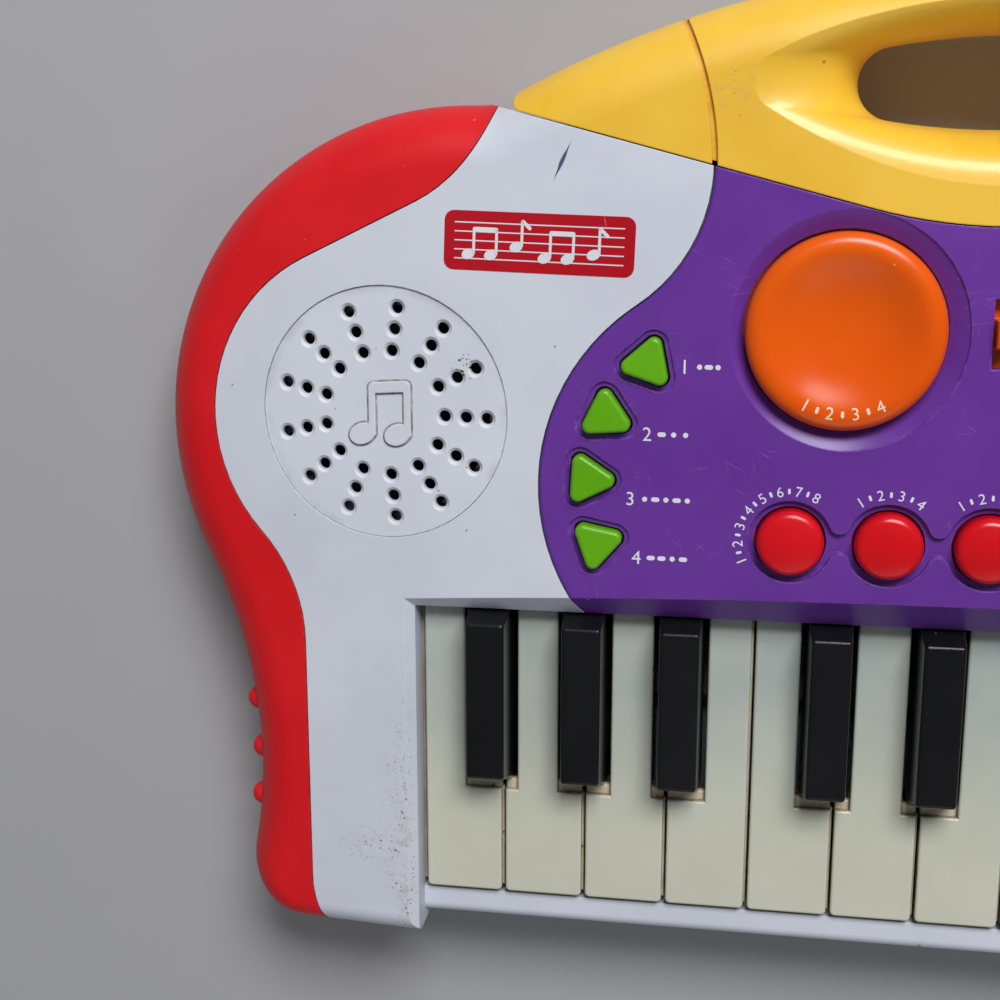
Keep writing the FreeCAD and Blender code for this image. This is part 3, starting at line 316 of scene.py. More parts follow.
def streakMask(tree, place, plan):
    # a short rubbed line between two points of the plan, widest in the middle
    start, end, width = plan["start"], plan["end"], plan["width"] * mm
    along = Vector((end[0] - start[0], end[1] - start[1], 0))
    length = along.length * mm
    along.normalize()
    moved = put(tree, "ShaderNodeVectorMath", {0: place, 1: (start[0] * mm, start[1] * mm, 0)},
                operation="SUBTRACT").outputs[0]
    run = put(tree, "ShaderNodeVectorMath", {0: moved, 1: along}, operation="DOT_PRODUCT").outputs["Value"]
    side = put(tree, "ShaderNodeVectorMath", {0: moved, 1: (-along.y, along.x, 0)},
               operation="DOT_PRODUCT").outputs["Value"]
    share = calc(tree, "DIVIDE", run, length)
    swell = product(tree, span(tree, share, 0.0, 0.5), span(tree, share, 1.0, 0.5))
    belly = product(tree, swell, swell, 1 - plan["tip"])
    half = product(tree, calc(tree, "ADD", belly, plan["tip"]), width)
    drift = cloud(tree, scaled(tree, place, plan["wobbleSize"]), plan["wobbleDetail"])
    wobble = product(tree, calc(tree, "SUBTRACT", drift, 0.5), plan["wobble"] * width)
    away = calc(tree, "ABSOLUTE", calc(tree, "ADD", side, wobble))
    shown = product(tree, span(tree, share, 0.0, plan["fade"]), span(tree, share, 1.0, 1 - plan["fade"]))
    return product(tree, shown, span(tree, calc(tree, "DIVIDE", away, half), 1.0, plan["core"]))


def whiteExtra(tree, place, colour, plan):
    # brown specks gather on the cheeks beside the keys, dark ones lie scattered, one blue rubbed line
    cheek = plan["cheek"]
    flat = flattened(tree, place)
    parts = put(tree, "ShaderNodeSeparateXYZ", {0: place}).outputs
    fromWell = calc(tree, "ADD", calc(tree, "ABSOLUTE", parts[0]), cheek["inner"] * mm)
    band = product(tree, span(tree, fromWell, cheek["reach"] * mm, cheek["full"] * mm),
                   span(tree, parts[1], cheek["rear"] * mm, cheek["front"] * mm))
    frontOff = calc(tree, "ABSOLUTE", calc(tree, "SUBTRACT", parts[1], cheek["front"] * mm))
    row = product(tree, span(tree, frontOff, cheek["rowOff"] * mm, cheek["rowFull"] * mm),
                  span(tree, fromWell, cheek["rowReach"] * mm, cheek["full"] * mm))
    near = product(tree, calc(tree, "MAXIMUM", band, row), patches(tree, flat, **plan["clumps"]),
                   span(tree, fromWell, 0.0, cheek["wall"] * mm))
    haze = product(tree, patches(tree, flat, **plan["haze"]), near, plan["hazeShow"])
    colour = mixed(tree, haze, colour, tone(*plan["hazeTone"]))
    for specks in plan["cheekSpecks"]:
        colour = speckled(tree, flat, colour, specks, near)
    colour = speckled(tree, flat, colour, plan["loose"])
    rubbed = product(tree, streakMask(tree, place, plan["streak"]), plan["streak"]["show"])
    return mixed(tree, rubbed, colour, tone(*plan["streak"]["tone"]))


whiteCase = mouldedPlastic("whiteCase", whitePlan, whiteExtra)

# Speaker grille: the same white, duller, with its painted highlight along the corners; painted shade in a
# ring along the rim; grime where hands don't wipe
grillePlan = dict(
    whitePlan, main=(213, 218, 228), deep=(206, 211, 221), rough=0.46, bump=0.22, grain=0.7,
    speaker=(-137.4, 17.45), rim=29.7, rimWidth=2.5, rimShadeShow=0.3, rimShadeTone=(150, 142, 128),
    uneven={"size": 8.0, "low": 0.4, "high": 0.65, "detail": 3.0},
    clump=(-117.7, 28.6), clumpReach=4.6, clumpFull=1.5, thin={"size": 2.2, "low": 0.38, "high": 0.5},
    clumpSpecks={"spacing": 0.8, "size": 0.42, "amount": 0.7, "show": 1.0, "tone": (34, 32, 34)},
    loose={"spacing": 5.0, "size": 0.4, "amount": 0.35, "show": 0.7, "tone": (96, 88, 80)})


def grilleExtra(tree, place, colour, plan):
    # painted shade in a ring along the rim, one clump of dark specks, a few loose ones
    flat = flattened(tree, place)
    away = around(tree, place, *plan["speaker"])
    ring = span(tree, away, (plan["rim"] - plan["rimWidth"]) * mm, plan["rim"] * mm)
    # the darker ring is painted shade of the recessed step, broken in patches
    grime = product(tree, ring, patches(tree, flat, **plan["uneven"]), plan["rimShadeShow"])
    colour = mixed(tree, grime, colour, tone(*plan["rimShadeTone"]))
    clump = span(tree, around(tree, place, *plan["clump"]), plan["clumpReach"] * mm, plan["clumpFull"] * mm)
    thinned = product(tree, clump, patches(tree, flat, **plan["thin"]))
    colour = speckled(tree, flat, colour, plan["clumpSpecks"], thinned)
    return speckled(tree, flat, colour, plan["loose"])


grilleWhite = mouldedPlastic("grilleWhite", grillePlan, grilleExtra)

# Purple panel: satin, many fine pale scratches, a painted highlight along its edges
purplePlan = dict(basePlastic, main=(106, 54, 154), deep=(99, 49, 146), rough=0.34, bump=0.14, grain=0.6,
                  scratches=0.7, scratchShow=0.24, scratchTone=(180, 146, 210), scratchLength=6.0,
                  scratchWidth=0.2, edge=0.7, wearAndHighlightTone=(152, 108, 194), specks=0.35, speckSpacing=6.0,
                  speckSize=0.36, speckTone=(200, 180, 214), speckShow=0.7, shine=0.34, corner=0.5)
purplePanel = mouldedPlastic("purplePanel", purplePlan)

# Red bumpers: soft matt rubber with small pale scuffs, a painted highlight along the edges
redPlan = dict(
    basePlastic, main=(221, 18, 28), deep=(211, 14, 24), rough=0.46, roughPlay=0.05, bump=0.3, grain=0.5,
    corner=0.3, shine=0.42, scratches=0.5, scratchShow=0.22, scratchTone=(246, 120, 116),
    scratchLength=5.0, scratchWidth=0.5, edge=0.25, wearAndHighlightTone=(240, 110, 104),
    specks=0.3, speckSpacing=4.0, speckSize=0.32, speckTone=(250, 150, 140), speckShow=0.4)
redBumper = mouldedPlastic("redBumper", redPlan)

# Yellow handle: glossy, faint dirt in patches
yellowPlan = dict(
    basePlastic, main=(243, 195, 58), deep=(237, 186, 46), rough=0.42, bump=0.06, grain=1.4, coat=0.2,
    shine=0.6, corner=0.5, scratches=0.35, scratchShow=0.22, scratchTone=(255, 226, 150),
    edge=0.3, wearAndHighlightTone=(222, 164, 48),
    specks=0.3, speckSpacing=8.0, speckSize=0.45, speckTone=(120, 82, 34),
    groove=(-132.0, 73.25), grooveRadius=70.0, grooveSide=0.75, grooveFull=0.45,
    grooveBreaks={"size": 4.0, "low": 0.35, "high": 0.7, "detail": 4.0, "rough": 0.7, "first": 0.35},
    grooveShow=0.6, grooveTone=(196, 128, 24),
    dust=(-57.0, 88.5), dustReach=9.0, dustFull=2.0,
    dustHaze={"size": 2.6, "low": 0.42, "high": 0.68, "detail": 4.0, "rough": 0.7},
    dustShow=0.32, dustTone=(186, 160, 112),
    dustSpecks={"spacing": 1.3, "size": 0.3, "amount": 0.4, "show": 0.7, "tone": (112, 92, 60)})


def yellowExtra(tree, place, colour, plan):
    # grime in the groove line, a dusty patch by the grip
    flat = flattened(tree, place)
    away = calc(tree, "SUBTRACT", around(tree, place, *plan["groove"]), plan["grooveRadius"] * mm)
    line = span(tree, calc(tree, "ABSOLUTE", away), plan["grooveSide"] * mm, plan["grooveFull"] * mm)
    grime = product(tree, line, patches(tree, flat, **plan["grooveBreaks"]), plan["grooveShow"])
    colour = mixed(tree, grime, colour, tone(*plan["grooveTone"]))
    patch = span(tree, around(tree, place, *plan["dust"]), plan["dustReach"] * mm, plan["dustFull"] * mm)
    haze = product(tree, patch, patches(tree, flat, **plan["dustHaze"]), plan["dustShow"])
    colour = mixed(tree, haze, colour, tone(*plan["dustTone"]))
    return speckled(tree, flat, colour, plan["dustSpecks"], patch)


yellowHandle = mouldedPlastic("yellowHandle", yellowPlan, yellowExtra)

# Orange pads and round red buttons: glossy, with a painted highlight along the edges
orangePlan = dict(
    basePlastic, main=(234, 94, 2), deep=(228, 86, 2), rough=0.24, bump=0.05, grain=1.2, shine=0.4,
    scratches=0.4, scratchShow=0.2, scratchTone=(255, 170, 110), edge=0.2, wearAndHighlightTone=(246, 130, 50),
    specks=0.2, speckTone=(255, 190, 140), speckShow=0.4)
orangePad = mouldedPlastic("orangePad", orangePlan)
buttonRedPlan = dict(orangePlan, main=(216, 14, 26), deep=(208, 11, 22), scratchTone=(250, 130, 130),
                     wearAndHighlightTone=(236, 70, 74), speckTone=(250, 170, 170), speckSpacing=3.0, speckSize=0.25)
redButton = mouldedPlastic("redButton", buttonRedPlan)

# Green buttons: half gloss with a fine sparkle of texture, a painted highlight along the edges
greenPlan = dict(
    basePlastic, main=(100, 175, 3), deep=(91, 165, 2), rough=0.32, bump=0.5, grain=0.35,
    scratches=0.35, scratchShow=0.2, scratchTone=(170, 220, 110), edge=0.35, wearAndHighlightTone=(150, 208, 80),
    specks=0.3, speckSpacing=1.4, speckSize=0.22, speckTone=(160, 214, 90), speckShow=0.5)
greenButton = mouldedPlastic("greenButton", greenPlan)

# White keys: aged cream; cooler toward the hinge, darkened there as painted shade under the lip; brown grime
# down the gaps
creamPlan = dict(
    basePlastic, main=(206, 207, 190), deep=(199, 200, 182), rough=0.26, bump=0.06, grain=1.6, corner=0.3,
    scratches=0.25, scratchShow=0.15, scratchTone=(170, 170, 160), edge=0.3, wearAndHighlightTone=(168, 150, 112),
    specks=0.22, speckSpacing=9.0, speckSize=0.4, speckTone=(140, 112, 70),
    # the rear tone is a greenish tint darkened to paint the shade under the lip
    frontEdge=-104.75, rearShadeFrom=12.0, rearShadeTo=70.0,
    mottled={"size": 22.0, "low": 0.3, "high": 0.75, "detail": 3.0, "first": 0.6},
    rearShadeShow=0.85, rearShadeTone=(156, 170, 170), lying=0.75, standing=0.3,
    grime={"size": 5.0, "low": 0.25, "high": 0.7, "detail": 4.0, "rough": 0.7, "first": 0.45},
    grimeTone=(140, 118, 84),
    wallSpecks={"spacing": 2.0, "size": 0.9, "amount": 0.4, "show": 0.8, "tone": (58, 48, 38)})


def creamExtra(tree, place, colour, plan):
    # a cooler rear half, partly a tint and partly painted shade under the lip; dirt on the standing walls
    parts = put(tree, "ShaderNodeSeparateXYZ", {0: place}).outputs
    rear = span(tree, parts[1], (plan["frontEdge"] + plan["rearShadeFrom"]) * mm,
                (plan["frontEdge"] + plan["rearShadeTo"]) * mm)
    rearShaded = product(tree, rear, patches(tree, place, **plan["mottled"]), plan["rearShadeShow"])
    colour = mixed(tree, rearShaded, colour, tone(*plan["rearShadeTone"]))
    facing = put(tree, "ShaderNodeNewGeometry").outputs["Normal"]
    upward = put(tree, "ShaderNodeSeparateXYZ", {0: facing}).outputs[2]
    walls = span(tree, upward, plan["lying"], plan["standing"])
    dirt = product(tree, walls, patches(tree, place, **plan["grime"]))
    colour = mixed(tree, dirt, colour, tone(*plan["grimeTone"]))
    return speckled(tree, place, colour, plan["wallSpecks"], walls)


creamKey = mouldedPlastic("creamKey", creamPlan, creamExtra)

# Black keys: deep gloss with a little dust, a painted glint along the edges
blackPlan = dict(
    basePlastic, main=(20, 20, 24), deep=(15, 15, 18), rough=0.28, bump=0.05, grain=1.5, corner=0.45,
    shine=0.3, coat=0.08, scratches=0.4, scratchShow=0.22, scratchTone=(90, 90, 96),
    edge=0.25, wearAndHighlightTone=(96, 96, 102),
    specks=0.3, speckSpacing=5.0, speckSize=0.25, speckTone=(150, 146, 138), speckShow=0.6)
blackKey = mouldedPlastic("blackKey", blackPlan)


# Inner pieces
def innerSurface(name, plan):
    # a plain inner material with patchy tone and grain
    material, tree, shader, place = startMaterial(name)
    patch = use(tree, surfaceGrain, place=place, patch=plan["patch"])["Patch"]
    colour = mixed(tree, patch, tone(*plan["deep"]), tone(*plan["main"]))
    colour = speckled(tree, place, colour, plan["dust"])
    finishSurface(tree, shader, place, colour, plan)
    shader.inputs["Metallic"].default_value = plan["metal"]
    return material


innerBase = {
    "patch": 12.0, "grain": 0.6, "bump": 0.2, "corner": 0.2, "rough": 0.5, "roughPlay": 0.06,
    "shine": 0.5, "coat": 0.0, "metal": 0.0,
    "dust": {"spacing": 3.0, "size": 0.4, "amount": 0.35, "show": 0.4, "tone": (150, 145, 135)},
}
innerPlans = {
    "lowerWhite": dict(innerBase, main=(200, 205, 216), deep=(190, 195, 206), bump=0.35, grain=0.5),
    "siliconeGrey": dict(innerBase, main=(150, 152, 154), deep=(140, 142, 145), rough=0.6),
    "boardGreen": dict(innerBase, main=(38, 98, 58), deep=(28, 82, 48), rough=0.35, patch=5.0),
    "rodSteel": dict(innerBase, main=(176, 176, 178), deep=(150, 150, 153), rough=0.32, metal=1.0, grain=0.3),
    "basketSteel": dict(innerBase, main=(140, 140, 142), deep=(120, 120, 124), rough=0.4, metal=1.0),
    "magnetGrey": dict(innerBase, main=(58, 58, 60), deep=(46, 46, 49), rough=0.7, bump=0.5),
    "conePaper": dict(innerBase, main=(24, 23, 22), deep=(17, 17, 17), rough=0.85, bump=0.8, grain=0.4),
    "cellJacket": dict(innerBase, main=(40, 44, 52), deep=(32, 35, 42), rough=0.3),
    "springSteel": dict(innerBase, main=(190, 186, 172), deep=(165, 160, 148), rough=0.3, metal=1.0,
                        grain=0.3),
    "footRubber": dict(innerBase, main=(60, 60, 63), deep=(48, 48, 51), rough=0.8, bump=0.6, grain=0.4),
}
inner = {name: innerSurface(name, plan) for name, plan in innerPlans.items()}

finishes = {
    "upper_case": whiteCase, "lower_case": whiteCase, "control_panel": purplePanel,
    "handle_front": yellowHandle, "handle_back": yellowHandle, "left_bumper": redBumper,
    "right_bumper": redBumper, "white_key": creamKey, "black_key": blackKey,
    "instrument_button": redButton, "rhythm_button": greenButton, "left_pad": orangePad,
    "right_pad": orangePad, "power_slider": orangePad, "speaker_grilles": grilleWhite,
    "key_pivot_rod": inner["rodSteel"], "key_contact_strip": inner["siliconeGrey"],
    "key_board": inner["boardGreen"], "main_board": inner["boardGreen"],
    "button_membrane": inner["siliconeGrey"], "speaker_baskets": inner["basketSteel"],
    "speaker_magnets": inner["magnetGrey"], "speaker_cones": inner["conePaper"],
    "battery_door": inner["lowerWhite"], "batteries": inner["cellJacket"],
    "battery_contacts": inner["springSteel"], "case_screws": inner["rodSteel"], "feet": inner["footRubber"],
}
for name, node in nodes.items():
    family = name.rstrip("0123456789").rstrip("_")
    for holder in node.material_slots:
        holder.material = finishes[family]
print("materials on", len(nodes), "nodes")


# Draping thin printed shapes on the CAD surfaces
graph = bpy.context.evaluated_depsgraph_get()
carriers = {name: BVHTree.FromObject(nodes[name], graph)
            for name in ("upper_case", "control_panel", "left_pad", "right_pad", "speaker_grilles")}

rayStart = 1.0  # metres, above everything


def dropOn(surface, x, y):
    return surface.ray_cast(Vector((x * mm, y * mm, rayStart)), Vector((0, 0, -1)))[0]


def heightAt(carrier, x, y):
    return dropOn(carriers[carrier], x, y).z / mm


def closedSheet(name, sheets, carrier, lift, sink, material):
    # each sheet is points in millimetres and faces; the walls follow its open edges
    points, faces = [], []
    for flat, flatFaces in sheets:
        first = len(points)
        count = len(flat)
        levels = [heightAt(carrier, x, y) for x, y in flat]
        points += [(x * mm, y * mm, (z + lift) * mm) for (x, y), z in zip(flat, levels)]
        points += [(x * mm, y * mm, (z - sink) * mm) for (x, y), z in zip(flat, levels)]
        directed = set()
        for face in flatFaces:
            faces.append([first + corner for corner in face])
            faces.append([first + count + corner for corner in reversed(face)])
            directed.update(zip(face, list(face[1:]) + [face[0]]))
        for a, b in sorted(directed):
            if (b, a) not in directed:
                faces.append([first + b, first + a, first + count + a, first + count + b])
    mesh = bpy.data.meshes.new(name)
    mesh.from_pydata(points, [], faces)
    mesh.materials.append(material)
    piece = bpy.data.objects.new(name, mesh)
    scene.collection.objects.link(piece)
    return piece


def spunShape(points, centre, angle):
    turn = math.radians(angle)
    return [(centre[0] + x * math.cos(turn) - y * math.sin(turn),
             centre[1] + x * math.sin(turn) + y * math.cos(turn)) for x, y in points]


def ovalSheet(centre, halfX, halfY, angle=0.0, steps=20):
    ring = [(halfX * math.cos(2 * math.pi * step / steps), halfY * math.sin(2 * math.pi * step / steps))
            for step in range(steps)]
    return spunShape(ring, centre, angle), [list(range(steps))]


def barSheet(centre, length, width, angle=0.0, steps=6):
    # a bar with round ends, cut in columns so that it follows the surface
    radius = width / 2
    straight = length / 2 - radius
    ends = [(straight + radius * math.sin(math.pi / 2 * step / steps),
             radius * math.cos(math.pi / 2 * step / steps)) for step in range(steps)]
    columns = [(-x, y) for x, y in reversed(ends)] + ends
    flat = [(-straight - radius, 0.0)]
    flat += [(x, sign * y) for x, y in columns for sign in (-1, 1)]
    flat.append((straight + radius, 0.0))
    faces = [[0, 1, 2]]
    for number in range(len(columns) - 1):
        low = 1 + 2 * number
        faces.append([low, low + 2, low + 3, low + 1])
    last = len(flat) - 1
    faces.append([last - 2, last, last - 1])
    return spunShape(flat, centre, angle), faces


figurePlan = {"curveSteps": 6, "weld": 1e-5, "shortest": 2e-3, "cuts": 2}


def textSheet(words, height, centre, angle=0.0):
    # figures in small even faces, so that they follow the surface too
    curve = bpy.data.curves.new("marking", "FONT")
    curve.body = words
    curve.size = 1.0
    curve.align_x = "CENTER"
    curve.resolution_u = figurePlan["curveSteps"]
    holder = bpy.data.objects.new("marking", curve)
    mesh = bpy.data.meshes.new_from_object(holder)
    form = bmesh.new()
    form.from_mesh(mesh)
    bmesh.ops.remove_doubles(form, verts=form.verts, dist=figurePlan["weld"])
    bmesh.ops.dissolve_degenerate(form, edges=form.edges, dist=figurePlan["shortest"])
    bmesh.ops.triangulate(form, faces=form.faces)
    bmesh.ops.beautify_fill(form, faces=form.faces, edges=form.edges)
    form.normal_update()
    bmesh.ops.subdivide_edges(form, edges=form.edges, cuts=figurePlan["cuts"], use_grid_fill=True)
    form.verts.ensure_lookup_table()
    form.verts.index_update()
    low = min(vert.co.y for vert in form.verts)
    high = max(vert.co.y for vert in form.verts)
    size = height / (high - low)
    flat = [(vert.co.x * size, (vert.co.y - (low + high) / 2) * size) for vert in form.verts]
    faces = [[vert.index for vert in face.verts] if face.normal.z > 0 else
             [vert.index for vert in reversed(face.verts)] for face in form.faces]
    form.free()
    bpy.data.objects.remove(holder)
    bpy.data.curves.remove(curve)
    bpy.data.meshes.remove(mesh)
    return spunShape(flat, centre, angle), faces


# Printed white marks
printPlan = dict(
    basePlastic, main=(226, 228, 234), deep=(216, 218, 226), rough=0.4, bump=0.2, grain=0.4, corner=0.05,
    scratches=0.6, scratchShow=0.45, scratchTone=(150, 120, 180), scratchLength=4.0, edge=0.0,
    specks=0.3, speckSpacing=1.2, speckSize=0.3, speckTone=(160, 140, 185), speckShow=0.5)
whitePrint = mouldedPlastic("whitePrint", printPlan)
padPrint = mouldedPlastic("padPrint", dict(printPlan, main=(244, 224, 202), deep=(238, 212, 184),
                                           scratchTone=(228, 120, 50), speckTone=(230, 130, 60)))

rhythmMarks = {
    "places": ((-63.8, 30.3, 9.4), (-71.2, 14.9, 10.7), (-72.6, -0.1, 15.0), (-72.1, -13.8, 12.7)),
    "beats": (".-.", "-..", ".-.-.", "--.-"),
    "height": 3.1, "digit": 2.2, "dot": 0.6, "dotSteps": 14, "dash": 1.9, "thick": 1.05,
    "lift": 0.06, "sink": 0.05,
}


def beatRow(beats, first, last, y, plan):
    sheets = []
    for step, beat in enumerate(beats):
        x = first + (last - first) * step / (len(beats) - 1)
        if beat == ".":
            sheets.append(ovalSheet((x, y), plan["dot"], plan["dot"], steps=plan["dotSteps"]))
        else:
            sheets.append(barSheet((x, y), plan["dash"], plan["thick"]))
    return sheets


def rhythmPrints(plan):
    number = 0
    for side in (1, -1):
        for (x, y, width), beats in zip(plan["places"], plan["beats"]):
            number += 1
            left = side * x - width / 2
            sheets = [textSheet(str(number), plan["height"], (left + plan["digit"] / 2, y))]
            sheets += beatRow(beats, left + 2 * plan["digit"], left + width - plan["dash"] / 2, y, plan)
            piece = closedSheet("beatMark_%d" % number, sheets, "control_panel", plan["lift"], plan["sink"],
                                whitePrint)
            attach(piece, "case")


rhythmPrints(rhythmMarks)


def dialRow(centre, plan, start, stop, facing):
    # digits along an arc with a short tick between each two
    steps = 2 * int(round(abs(start - stop) / plan["turn"] / 2))
    sheets = []
    for step in range(steps + 1):
        angle = start + (stop - start) * step / steps
        turn = math.radians(angle)
        spot = (centre[0] + plan["radius"] * math.cos(turn), centre[1] + plan["radius"] * math.sin(turn))
        if step % 2:
            sheets.append(barSheet(spot, plan["tick"], plan["thick"], angle))
        else:
            sheets.append(textSheet(str(step // 2 + 1), plan["height"], spot, angle + facing))
    return sheets


soundMarks = {
    "first": -43.0, "pitch": 21.5, "count": 5, "y": -8.55, "radius": 11.6, "lift": 0.06, "sink": 0.05,
    "long": (205.0, 62.0), "short": (124.0, 56.0), "turn": 10.2, "height": 2.3, "tick": 1.3, "thick": 0.6,
}


def soundPrints(plan):
    for number in range(plan["count"]):
        x = plan["first"] + number * plan["pitch"]
        start, stop = plan["long"] if number == 0 else plan["short"]
        sheets = dialRow((x, plan["y"]), plan, start, stop, -90)
        piece = closedSheet("soundMark_%d" % (number + 1), sheets, "control_panel", plan["lift"],
                            plan["sink"], whitePrint)
        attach(piece, "case")


soundPrints(soundMarks)

padMarks = {"x": 33.0, "y": 38.65, "radius": 17.6, "middle": 270.0, "reach": 27.0, "turn": 9.0, "height": 2.7,
            "tick": 1.5, "thick": 0.7, "lift": 0.08, "sink": 0.06}


def padPrints(plan):
    for side, node in ((-1, "left_pad"), (1, "right_pad")):
        sheets = dialRow((side * plan["x"], plan["y"]), plan, plan["middle"] - plan["reach"],
                         plan["middle"] + plan["reach"], 90)
        piece = closedSheet(node + "Mark", sheets, node, plan["lift"], plan["sink"], padPrint)
        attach(piece, node)


padPrints(padMarks)
print("printed marks placed")

# Red label with a staff and notes
labelPlan = dict(
    basePlastic, main=(184, 4, 28), deep=(175, 3, 24), rough=0.34, bump=0.1, grain=0.8, corner=0.05,
    scratches=0.6, scratchShow=0.55, scratchTone=(226, 170, 172), scratchLength=7.0, edge=0.0,
    specks=0.3, speckSpacing=3.0, speckSize=0.35, speckTone=(224, 180, 180), speckShow=0.6)
labelRed = mouldedPlastic("labelRed", labelPlan)
labelShape = {
    "centre": (-100.5, 57.0), "length": 43.3, "width": 13.2, "corner": 2.2, "turn": -2.0, "lift": 0.10,
    "sink": 0.05, "markLift": 0.15, "columns": 18, "cornerSteps": 6, "rows": (-1.0, -0.35, 0.35, 1.0),
}


def labelSheet(plan):
    halfX = plan["length"] / 2
    halfY = plan["width"] / 2
    corner = plan["corner"]
    ends = [(halfX - corner + corner * math.sin(math.pi / 2 * step / plan["cornerSteps"]),
             halfY - corner + corner * math.cos(math.pi / 2 * step / plan["cornerSteps"]))
            for step in range(1, plan["cornerSteps"] + 1)]
    middle = [(-halfX + corner + (plan["length"] - 2 * corner) * step / plan["columns"], halfY)
              for step in range(plan["columns"] + 1)]
    columns = [(-x, y) for x, y in reversed(ends)] + middle + ends
    rows = plan["rows"]
    flat = [(x, y * row) for x, y in columns for row in rows]
    faces = []
    for column in range(len(columns) - 1):
        for row in range(len(rows) - 1):
            low = column * len(rows) + row
            faces.append([low, low + len(rows), low + len(rows) + 1, low + 1])
    return spunShape(flat, plan["centre"], plan["turn"]), faces


staffPlan = {
    "lines": 5, "lowLine": -4.0, "lineGap": 2.0, "lineThick": 0.28,
    "parts": 4, "firstPart": -14.4, "partStep": 9.6, "partLength": 9.8,
    "notes": ((-16.0, -3.0, True), (-5.0, -1.0, False), (1.5, -3.2, True), (12.5, -2.0, False)),
    "pair": 5.2, "headLong": 1.55, "headWide": 1.15, "headTurn": 22,
    "stemX": 1.25, "stemY": 2.9, "stemLength": 6.0, "stemThick": 0.62,
    "beamX": 3.85, "beamY": 5.5, "beamLength": 5.9, "beamThick": 1.1,
    "tailX": 2.2, "tailY": 4.9, "tailLength": 2.9, "tailThick": 0.8, "tailTurn": -42,
}


def onLabel(shape, x, y):
    return spunShape([(x, y)], shape["centre"], shape["turn"])[0]


def noteSheets(shape, plan, x, y, beamed):
    # an eighth note, or two with a beam
    turn = shape["turn"]
    sheets = []
    for head in ((x, x + plan["pair"]) if beamed else (x,)):
        sheets.append(ovalSheet(onLabel(shape, head, y), plan["headLong"], plan["headWide"],
                                turn + plan["headTurn"]))
        sheets.append(barSheet(onLabel(shape, head + plan["stemX"], y + plan["stemY"]), plan["stemLength"],
                               plan["stemThick"], turn + 90))
    if beamed:
        sheets.append(barSheet(onLabel(shape, x + plan["beamX"], y + plan["beamY"]), plan["beamLength"],
                               plan["beamThick"], turn))
    else:
        sheets.append(barSheet(onLabel(shape, x + plan["tailX"], y + plan["tailY"]), plan["tailLength"],
                               plan["tailThick"], turn + plan["tailTurn"]))
    return sheets


def staffSheets(shape, plan):
    # five lines in short parts that follow the arched top, then the notes
    sheets = []
    for line in range(plan["lines"]):
        level = plan["lowLine"] + plan["lineGap"] * line
        for part in range(plan["parts"]):
            spot = onLabel(shape, plan["firstPart"] + part * plan["partStep"], level)
            sheets.append(barSheet(spot, plan["partLength"], plan["lineThick"], shape["turn"]))
    for x, y, beamed in plan["notes"]:
        sheets += noteSheets(shape, plan, x, y, beamed)
    return sheets


label = closedSheet("noteLabel", [labelSheet(labelShape)], "upper_case", labelShape["lift"],
                    labelShape["sink"], labelRed)
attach(label, "case")
notes = closedSheet("labelNotes", staffSheets(labelShape, staffPlan), "upper_case",
                    labelShape["markLift"], 0.0, whitePrint)
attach(notes, "case")
print("label placed")

# Low cream ledges that close the gaps beside and behind the white keys
ledgePlan = {
    "keys": 13, "pitch": 20.0, "half": 130.0, "gap": 0.9, "front": -104.75, "notch": 27.5, "show": 80.0,
    "low": 26.6, "top": 28.3, "round": 0.25, "roundSteps": 3, "side": 0.45, "deep": 2.2, "bite": 0.4,
    "frontRoom": 1.0, "rearRoom": 0.2, "notchRoom": 0.05, "probeIn": 0.8, "probeBack": 10.0, "probeStep": 0.1,
}
ledgeTone = dict(creamPlan, main=(206, 200, 174), deep=(190, 180, 150), patch=6.0, specks=0.4,
                 speckSpacing=2.4, speckSize=0.6, speckTone=(84, 66, 46), speckShow=0.85)
ledgeCream = mouldedPlastic("ledgeCream", ledgeTone)


def roundedBar(form, low, high, plan):
    # one bar with its top edges rounded over
    made = bmesh.ops.create_cube(form, size=1.0)["verts"]
    for vert in made:
        for axis in range(3):
            vert.co[axis] = (high[axis] if vert.co[axis] > 0 else low[axis]) * mm
    middle = (low[2] + high[2]) / 2 * mm
    own = set(made)
    top = [edge for edge in form.edges if all(end in own and end.co.z > middle for end in edge.verts)]
    bmesh.ops.bevel(form, geom=top, offset=plan["round"] * mm, segments=plan["roundSteps"], affect="EDGES")


def barPiece(name, rows, plan, material):
    # bars from the plan's low to its top in one piece
    form = bmesh.new()
    for xLow, xHigh, yLow, yHigh in rows:
        roundedBar(form, (xLow, yLow, plan["low"]), (xHigh, yHigh, plan["top"]), plan)
    mesh = bpy.data.meshes.new(name)
    form.to_mesh(mesh)
    form.free()
    mesh.materials.append(material)
    piece = bpy.data.objects.new(name, mesh)
    scene.collection.objects.link(piece)
    return piece


def keyLedges(plan):
    notchY = plan["front"] + plan["notch"]
    probeY = notchY + plan["deep"] + plan["probeBack"]
    for number in range(1, plan["keys"] + 1):
        name = "white_key_%d" % number
        left = -plan["half"] + (number - 1) * plan["pitch"] + plan["gap"] / 2
        right = left + plan["pitch"] - plan["gap"]
        surface = BVHTree.FromObject(nodes[name], graph)
        cutLeft = dropOn(surface, left + plan["probeIn"], probeY) is None
        cutRight = dropOn(surface, right - plan["probeIn"], probeY) is None
        rear = notchY if cutRight else plan["front"] + plan["show"]
        rows = []
        if number < plan["keys"]:
            rows.append((right - plan["bite"], right + plan["side"], plan["front"] + plan["frontRoom"],
                         rear - plan["rearRoom"]))
        for cut, edge, step in ((cutLeft, left, plan["probeStep"]), (cutRight, right, -plan["probeStep"])):
            if not cut:
                continue
            reach = edge
            while dropOn(surface, reach, probeY) is None:
                reach += step
            low, high = sorted((edge, reach))
            rows.append((low + plan["notchRoom"], high - plan["notchRoom"], notchY - plan["bite"],
                         notchY + plan["deep"]))
        piece = barPiece("keyLedge_%d" % number, rows, plan, ledgeCream)
        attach(piece, name)


keyLedges(ledgePlan)

